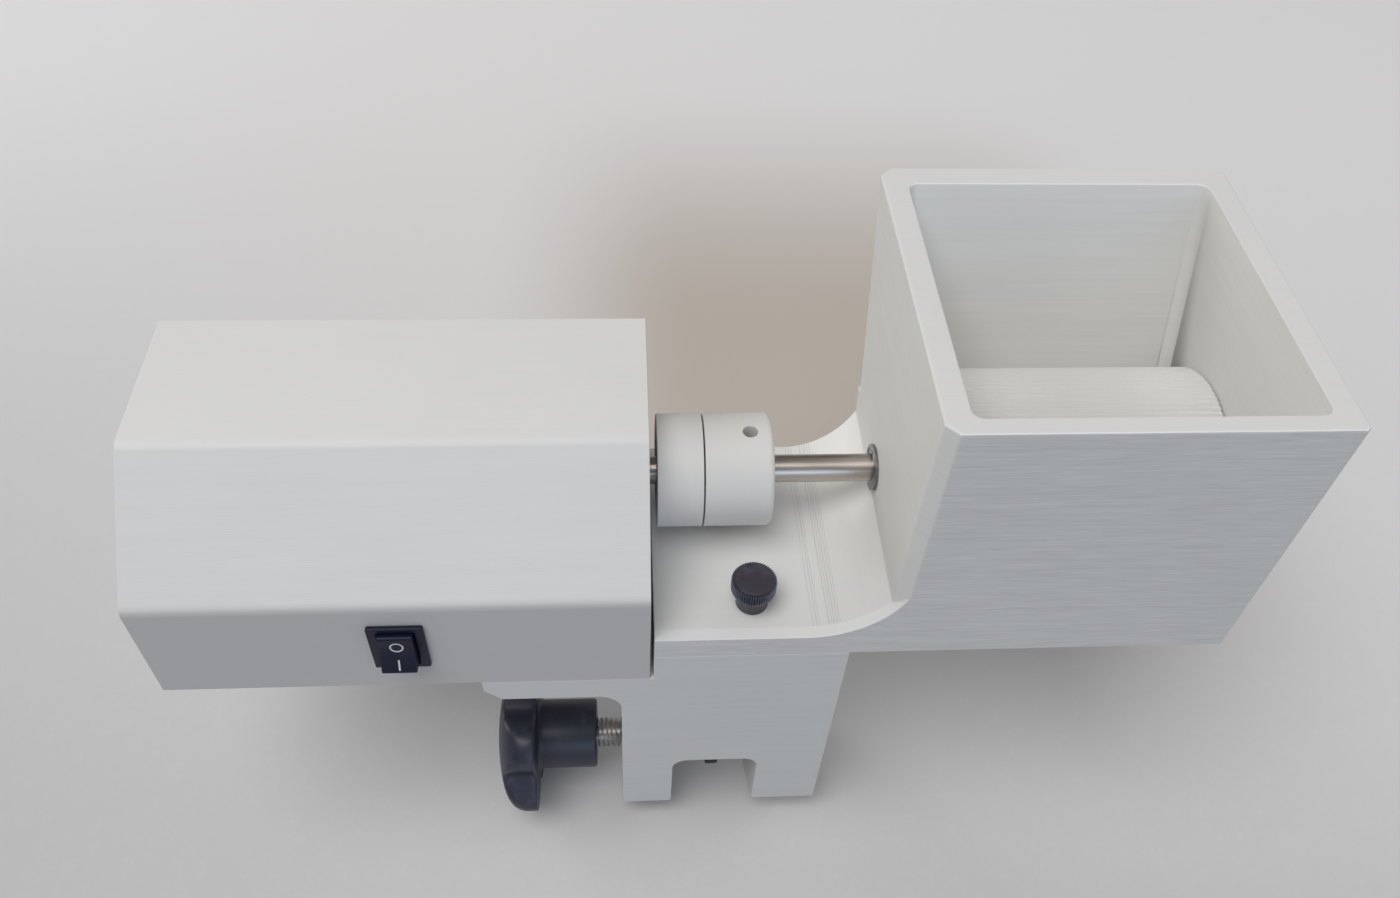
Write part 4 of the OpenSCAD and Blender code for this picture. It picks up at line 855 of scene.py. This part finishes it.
# %% Rings between two outlines
def ring_solid(name, rings, outline, count, material, smooth=45):
    """rings are (along, outline's inset or None for a circle, largest radius), in millimetres.
    A radius of 0 closes the shape, and a last ring like the first one closes it as a tube."""
    work = bmesh.new()
    loops = []
    tube = rings[0] == rings[-1]
    for along, inset, most in rings[:-1] if tube else rings:
        if most == 0:
            loops.append([work.verts.new((along * MM, 0, 0))])
            continue
        loop = []
        for k in range(count):
            a = 2 * math.pi * k / count
            r = most if inset is None else soft_minimum(outline(a) - inset, most, 1.6)
            loop.append(work.verts.new((along * MM, r * MM * math.cos(a), r * MM * math.sin(a))))
        loops.append(loop)
    if tube:
        loops.append(loops[0])
    for one, two in zip(loops, loops[1:]):
        for k in range(count):
            n = (k + 1) % count
            if len(one) == 1:
                work.faces.new((one[0], two[k], two[n]))
            elif len(two) == 1:
                work.faces.new((one[k], two[0], one[n]))
            else:
                work.faces.new((one[k], two[k], two[n], one[n]))
    bmesh.ops.recalc_face_normals(work, faces=work.faces)
    mesh = bpy.data.meshes.new(name)
    work.to_mesh(mesh)
    work.free()
    smooth_by_angle(mesh, smooth)
    return as_object(name, mesh, material)


def soft_minimum(a, b, width):
    """The smaller of two values, with a rounded change where they differ by less than width."""
    near = max(width - abs(a - b), 0) / width
    return min(a, b) - near * near * width / 4


LOBES, LOBE_START, STAR_RADIUS, LOBE_DEPTH = 5, math.radians(58), 24.8, 7.0


def star(angle):
    """The star's radius at an angle, in millimetres."""
    hollow = 0.5 - 0.5 * math.cos(LOBES * (angle - LOBE_START))
    return STAR_RADIUS - LOBE_DEPTH * hollow ** 1.5


WIDE = 40  # a radius that cuts nothing off
low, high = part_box("star_knob")
screw_low, screw_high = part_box("clamp_spindle")
HEAD, HUB = 13.0, 32.3
rings = [(x, 0, r) for x, r in (
    (0.05, 0), (0.06, 2.5), (0.14, 5.4), (0.42, 8.8), (0.95, 12.6), (1.6, 15.8), (2.15, 17.9),
    (2.85, 19.8), (3.6, 21.2), (4.5, 22.4), (5.6, 23.5), (6.8, 24.4), (8.0, 25.2), (9.4, 26.4))]
rings += [(10.6, 0, WIDE), (HEAD - 0.7, 0, WIDE), (HEAD - 0.3, 0.15, WIDE),
          (HEAD - 0.06, 0.5, WIDE), (HEAD, 1.0, WIDE), (HEAD, None, 12.6),
          (HEAD + 0.25, None, 11.75), (HEAD + 0.9, None, 11.25), (HEAD + 1.8, None, 11.2),
          (HUB - 0.9, None, 11.2), (HUB - 0.35, None, 11.02), (HUB - 0.06, None, 10.6),
          (HUB, None, 10.1), (HUB, None, 5.1), (HUB - 2, None, 5.02), (HUB - 2, None, 0)]
knob = ring_solid("star_grip", rings, star, 240, black)
moved(knob, Vector((low.x, (screw_low.y + screw_high.y) / 2, (screw_low.z + screw_high.z) / 2)))
take_over(knob, "star_knob")
print("star knob", len(knob.data.polygons), "faces")

# %% [markdown]
# ## Flanged bearings
# Each end of the hopper holds the shaft in a ball bearing whose thin flange stands out of the
# wall. A turned ring with a groove between the two races and a dished shield shows as a dark
# steel rim round the shaft.

# %% Turned bearings
for node, side in (("left_bearing", 1), ("right_bearing", -1)):
    low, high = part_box(node)
    flange, outer, length = 6.8, 6.0, (high.x - low.x) / MM  # two radii and a length
    rings = [(x, None, r) for x, r in (
        (0.12, flange), (0.0, flange - 0.15), (0.0, 6.0), (0.10, 5.9), (0.28, 5.75), (0.28, 5.05),
        (0.06, 4.9), (0.0, 4.8), (0.0, 4.25), (0.12, 4.08), (length - 0.12, 4.08),
        (length, 4.25), (length, 4.8), (length - 0.2, 4.95), (length - 0.2, 5.6),
        (length, 5.7), (length, outer - 0.15), (length - 0.15, outer), (1.0, outer),
        (1.0, flange - 0.05), (0.9, flange), (0.12, flange))]
    bearing = ring_solid("ball_" + node, rings, None, 96, bright, 30)
    if side < 0:
        bearing.data.transform(Matrix.Rotation(math.pi, 4, "Z"))
    moved(bearing, Vector((low.x if side > 0 else high.x, AXIS.y, AXIS.z)))
    take_over(bearing, node)
    print(bearing.name, len(bearing.data.polygons), "faces")

# %% [markdown]
# ## The thumb screw
# A small knurled head, so that two fingers can turn it, over a plain collar. Its top is a flat
# disc with a sharp rim, and the knurl is a fine wave round the band below, as on a turned piece.


# %% Knurled thumb screw
TEETH, KNURL_RADIUS, TOOTH_DEPTH = 54, 6.35, 0.7


def knurl(angle):
    """The knurl's radius at an angle, in millimetres."""
    tooth = abs((angle * TEETH / (2 * math.pi)) % 1 - 0.5) * 2
    return KNURL_RADIUS - TOOTH_DEPTH * (1 - tooth)


low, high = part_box("thumb_knob")
COLLAR, TOP = 6.0, (high.z - low.z) / MM
rings = [(x, i, r) for x, i, r in (
    (1.0, None, 0), (1.0, None, 3.04), (0.0, None, 3.06), (0.0, None, 4.35), (0.25, None, 4.6),
    (COLLAR - 0.6, None, 4.6), (COLLAR - 0.1, None, 4.75), (COLLAR, None, 5.2),
    (COLLAR + 0.05, None, 5.55), (COLLAR + 0.45, 0, KNURL_RADIUS), (COLLAR + 0.7, 0, WIDE),
    (TOP - 0.85, 0, WIDE), (TOP - 0.16, None, 5.5), (TOP - 0.05, None, 5.45),
    (TOP, None, 5.3), (TOP, None, 2.6), (TOP - 0.05, None, 0))]
thumb = ring_solid("thumb_grip", rings, knurl, 432, purple_black, 24)
thumb.data.transform(Matrix.Rotation(math.radians(-90), 4, "Y"))
moved(thumb, Vector(((low.x + high.x) / 2, (low.y + high.y) / 2, low.z)))
take_over(thumb, "thumb_knob")
print("thumb screw", len(thumb.data.polygons), "faces")

# %% [markdown]
# ## Marks on the rocker
# A rocker switch carries a ring for off and a bar for on. They are thin raised strips, and each
# of their points is dropped onto the rocker's bent face with a ray, so they follow its shape.


# %% Ring and bar dropped onto the rocker
STRIP_LIFTS = (0.06, -0.12)  # a strip's face and its foot, in millimetres off the rocker


def on_rocker(x, z, lift):
    """The point on the rocker's face in front of (x, z), lifted off it in millimetres."""
    start = at(x, -70, z)
    hit = ROCKER_SKIN.ray_cast(start, Vector((0, 1, 0)))[0]
    return hit - Vector((0, lift, 0)) * MM


def strip(work, paths):
    """A closed thin solid over a grid of (x, z) points, paths being its rows."""
    closed = paths[0] == paths[-1]
    rows = paths[:-1] if closed else paths
    grids = [[[work.verts.new(on_rocker(x, z, lift)) for x, z in row] for row in rows]
             for lift in STRIP_LIFTS]
    count, width = len(rows), len(rows[0])
    for i in range(count if closed else count - 1):
        n = (i + 1) % count
        for j in range(width - 1):
            for g in grids:
                work.faces.new((g[i][j], g[n][j], g[n][j + 1], g[i][j + 1]))
        for j in (0, width - 1):
            work.faces.new((grids[0][i][j], grids[0][n][j], grids[1][n][j], grids[1][i][j]))
    if not closed:
        for i in (0, count - 1):
            for j in range(width - 1):
                work.faces.new((grids[0][i][j], grids[0][i][j + 1], grids[1][i][j + 1],
                                grids[1][i][j]))


ROCKER_SKIN = BVHTree.FromPolygons([v.co for v in rocker.data.vertices],
                                   [tuple(p.vertices) for p in rocker.data.polygons])
SWITCH_X, SWITCH_Z = -67.3, -18.0
work = bmesh.new()
angles = [2 * math.pi * k / 40 for k in range(41)]
angles[-1] = 0.0
strip(work, [[(SWITCH_X + r * math.cos(a), SWITCH_Z + 3.9 + r * math.sin(a))
              for r in (1.42, 1.65, 1.88)] for a in angles])
strip(work, [[(SWITCH_X + dx, SWITCH_Z - dz) for dx in (-0.25, 0, 0.25)]
             for dz in (0.9, 1.7, 2.5, 3.3, 4.1)])
bmesh.ops.recalc_face_normals(work, faces=work.faces)
marks_mesh = bpy.data.meshes.new("rocker_marks")
work.to_mesh(marks_mesh)
work.free()
smooth_by_angle(marks_mesh, 30)
marks = as_object("rocker_marks", marks_mesh, ink)
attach(marks, BODY_OF["switch_rocker"])
print("marks", len(marks.data.polygons), "faces")

# %% [markdown]
# ## Socket screws
# Twelve small screws hold the covers, the arm and the strainer, all with their heads on the
# underside. They are one shape at many places, so Geometry Nodes instances it: a turned profile
# is bent from a grid, the socket's rows are pulled to a hexagon, and Instance on Points sets one
# screw at every point of the start mesh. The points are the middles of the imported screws.


# %% A tree that sets one screw at every point
def path_of(tree, share, values):
    """The value at a share of a path through the values, with straight steps between them."""
    total, last = None, len(values) - 1
    for i, (one, two) in enumerate(zip(values, values[1:])):
        step = (share * last - float(i)).math("MAXIMUM", 0.0).math("MINIMUM", 1.0) * (two - one)
        total = step + one if total is None else total + step
    return total


def make_screw_tree():
    tree, size, out = new_tree(
        "socket_screws", "GeometryNodeTree",
        [("Geometry", "NodeSocketGeometry", None), ("Shank Radius", FLOAT, 0.0012),
         ("Length", FLOAT, 0.008), ("Head Radius", FLOAT, 0.0024), ("Head Height", FLOAT, 0.0016),
         ("Socket Radius", FLOAT, 0.0011), ("Chamfer", FLOAT, 0.0002)],
        [("Geometry", "NodeSocketGeometry")])
    chamfer, head, shank = size["Chamfer"], size["Head Height"], size["Shank Radius"]
    wide, socket, zero = size["Head Radius"], size["Socket Radius"], Wire.number(tree, 0.0)
    tip = zero - size["Length"]
    along = [tip, tip, tip + shank * 0.4, zero, zero, chamfer, head - chamfer, head, head,
             head * 0.45, head * 0.45]
    radius = [zero, shank * 0.6, shank, shank, wide - chamfer, wide, wide, wide - chamfer,
              socket, socket, zero]

    def profile(angle, share):
        sixth = math.pi / 3
        corner = (angle / sixth).math("FRACT") * sixth - sixth / 2
        hexagon = Wire.number(tree, 1.0) / corner.cos()
        inner = (share * float(len(radius) - 1)).smooth(7.4, 7.6)
        r = path_of(tree, share, radius)
        return path_of(tree, share, along), r * (1.0 - inner) + r * hexagon * inner

    turned = bent_grid(tree, 49, len(radius), profile)
    sewn = put(tree, "GeometryNodeMergeByDistance", Geometry=turned, Distance=SEAM)
    upright = put(tree, "GeometryNodeTransform", Geometry=sewn,
                  Rotation=(0.0, math.radians(90), 0.0))
    copies = put(tree, "GeometryNodeInstanceOnPoints", Points=size["Geometry"], Instance=upright)
    end_tree(tree, copies, screw_metal, out)
    return tree


def islands(node):
    """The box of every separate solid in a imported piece, in the order of its vertices."""
    work = bmesh.new()
    work.from_mesh(frame["nodes"][node].data)
    bmesh.ops.remove_doubles(work, verts=work.verts, dist=SAME_POINT)
    seen, boxes = set(), []
    for start in work.verts:
        if start in seen:
            continue
        seen.add(start)
        front, spots = [start], [start.co.copy()]
        while front:
            for edge in front.pop().link_edges:
                for vertex in edge.verts:
                    if vertex not in seen:
                        seen.add(vertex)
                        front.append(vertex)
                        spots.append(vertex.co.copy())
        boxes.append([Vector((pick(v[i] for v in spots) for i in range(3))) for pick in (min, max)])
    work.free()
    return boxes


screw_tree = make_screw_tree()
for node, head, shank_r, socket_r in (("strainer_screws", 1.8, 1.4, 1.0),
                                      ("cover_screws", 1.8, 1.4, 1.0),
                                      ("arm_screws", 2.6, 2.0, 1.5)):
    boxes = islands(node)
    low, high = boxes[0]
    points = bpy.data.meshes.new(node + "_points")
    points.from_pydata([((a.x + b.x) / 2, (a.y + b.y) / 2, a.z + head * MM) for a, b in boxes],
                       [], [])
    screws = grown("set_" + node, screw_tree, {
        "Shank Radius": shank_r * MM, "Length": high.z - low.z - head * MM,
        "Head Radius": (high.x - low.x) / 2, "Head Height": head * MM,
        "Socket Radius": socket_r * MM}, 30, points)
    take_over(screws, node)
    print(screws.name, len(boxes), "screws", len(screws.data.polygons), "faces")

# %% [markdown]
# ## Sizes
# The last step prints the outer box of the imported model.

# %% Print the imported model's box
print("packed model's box", [[round(x, 4) for x in v] for v in cad_box])
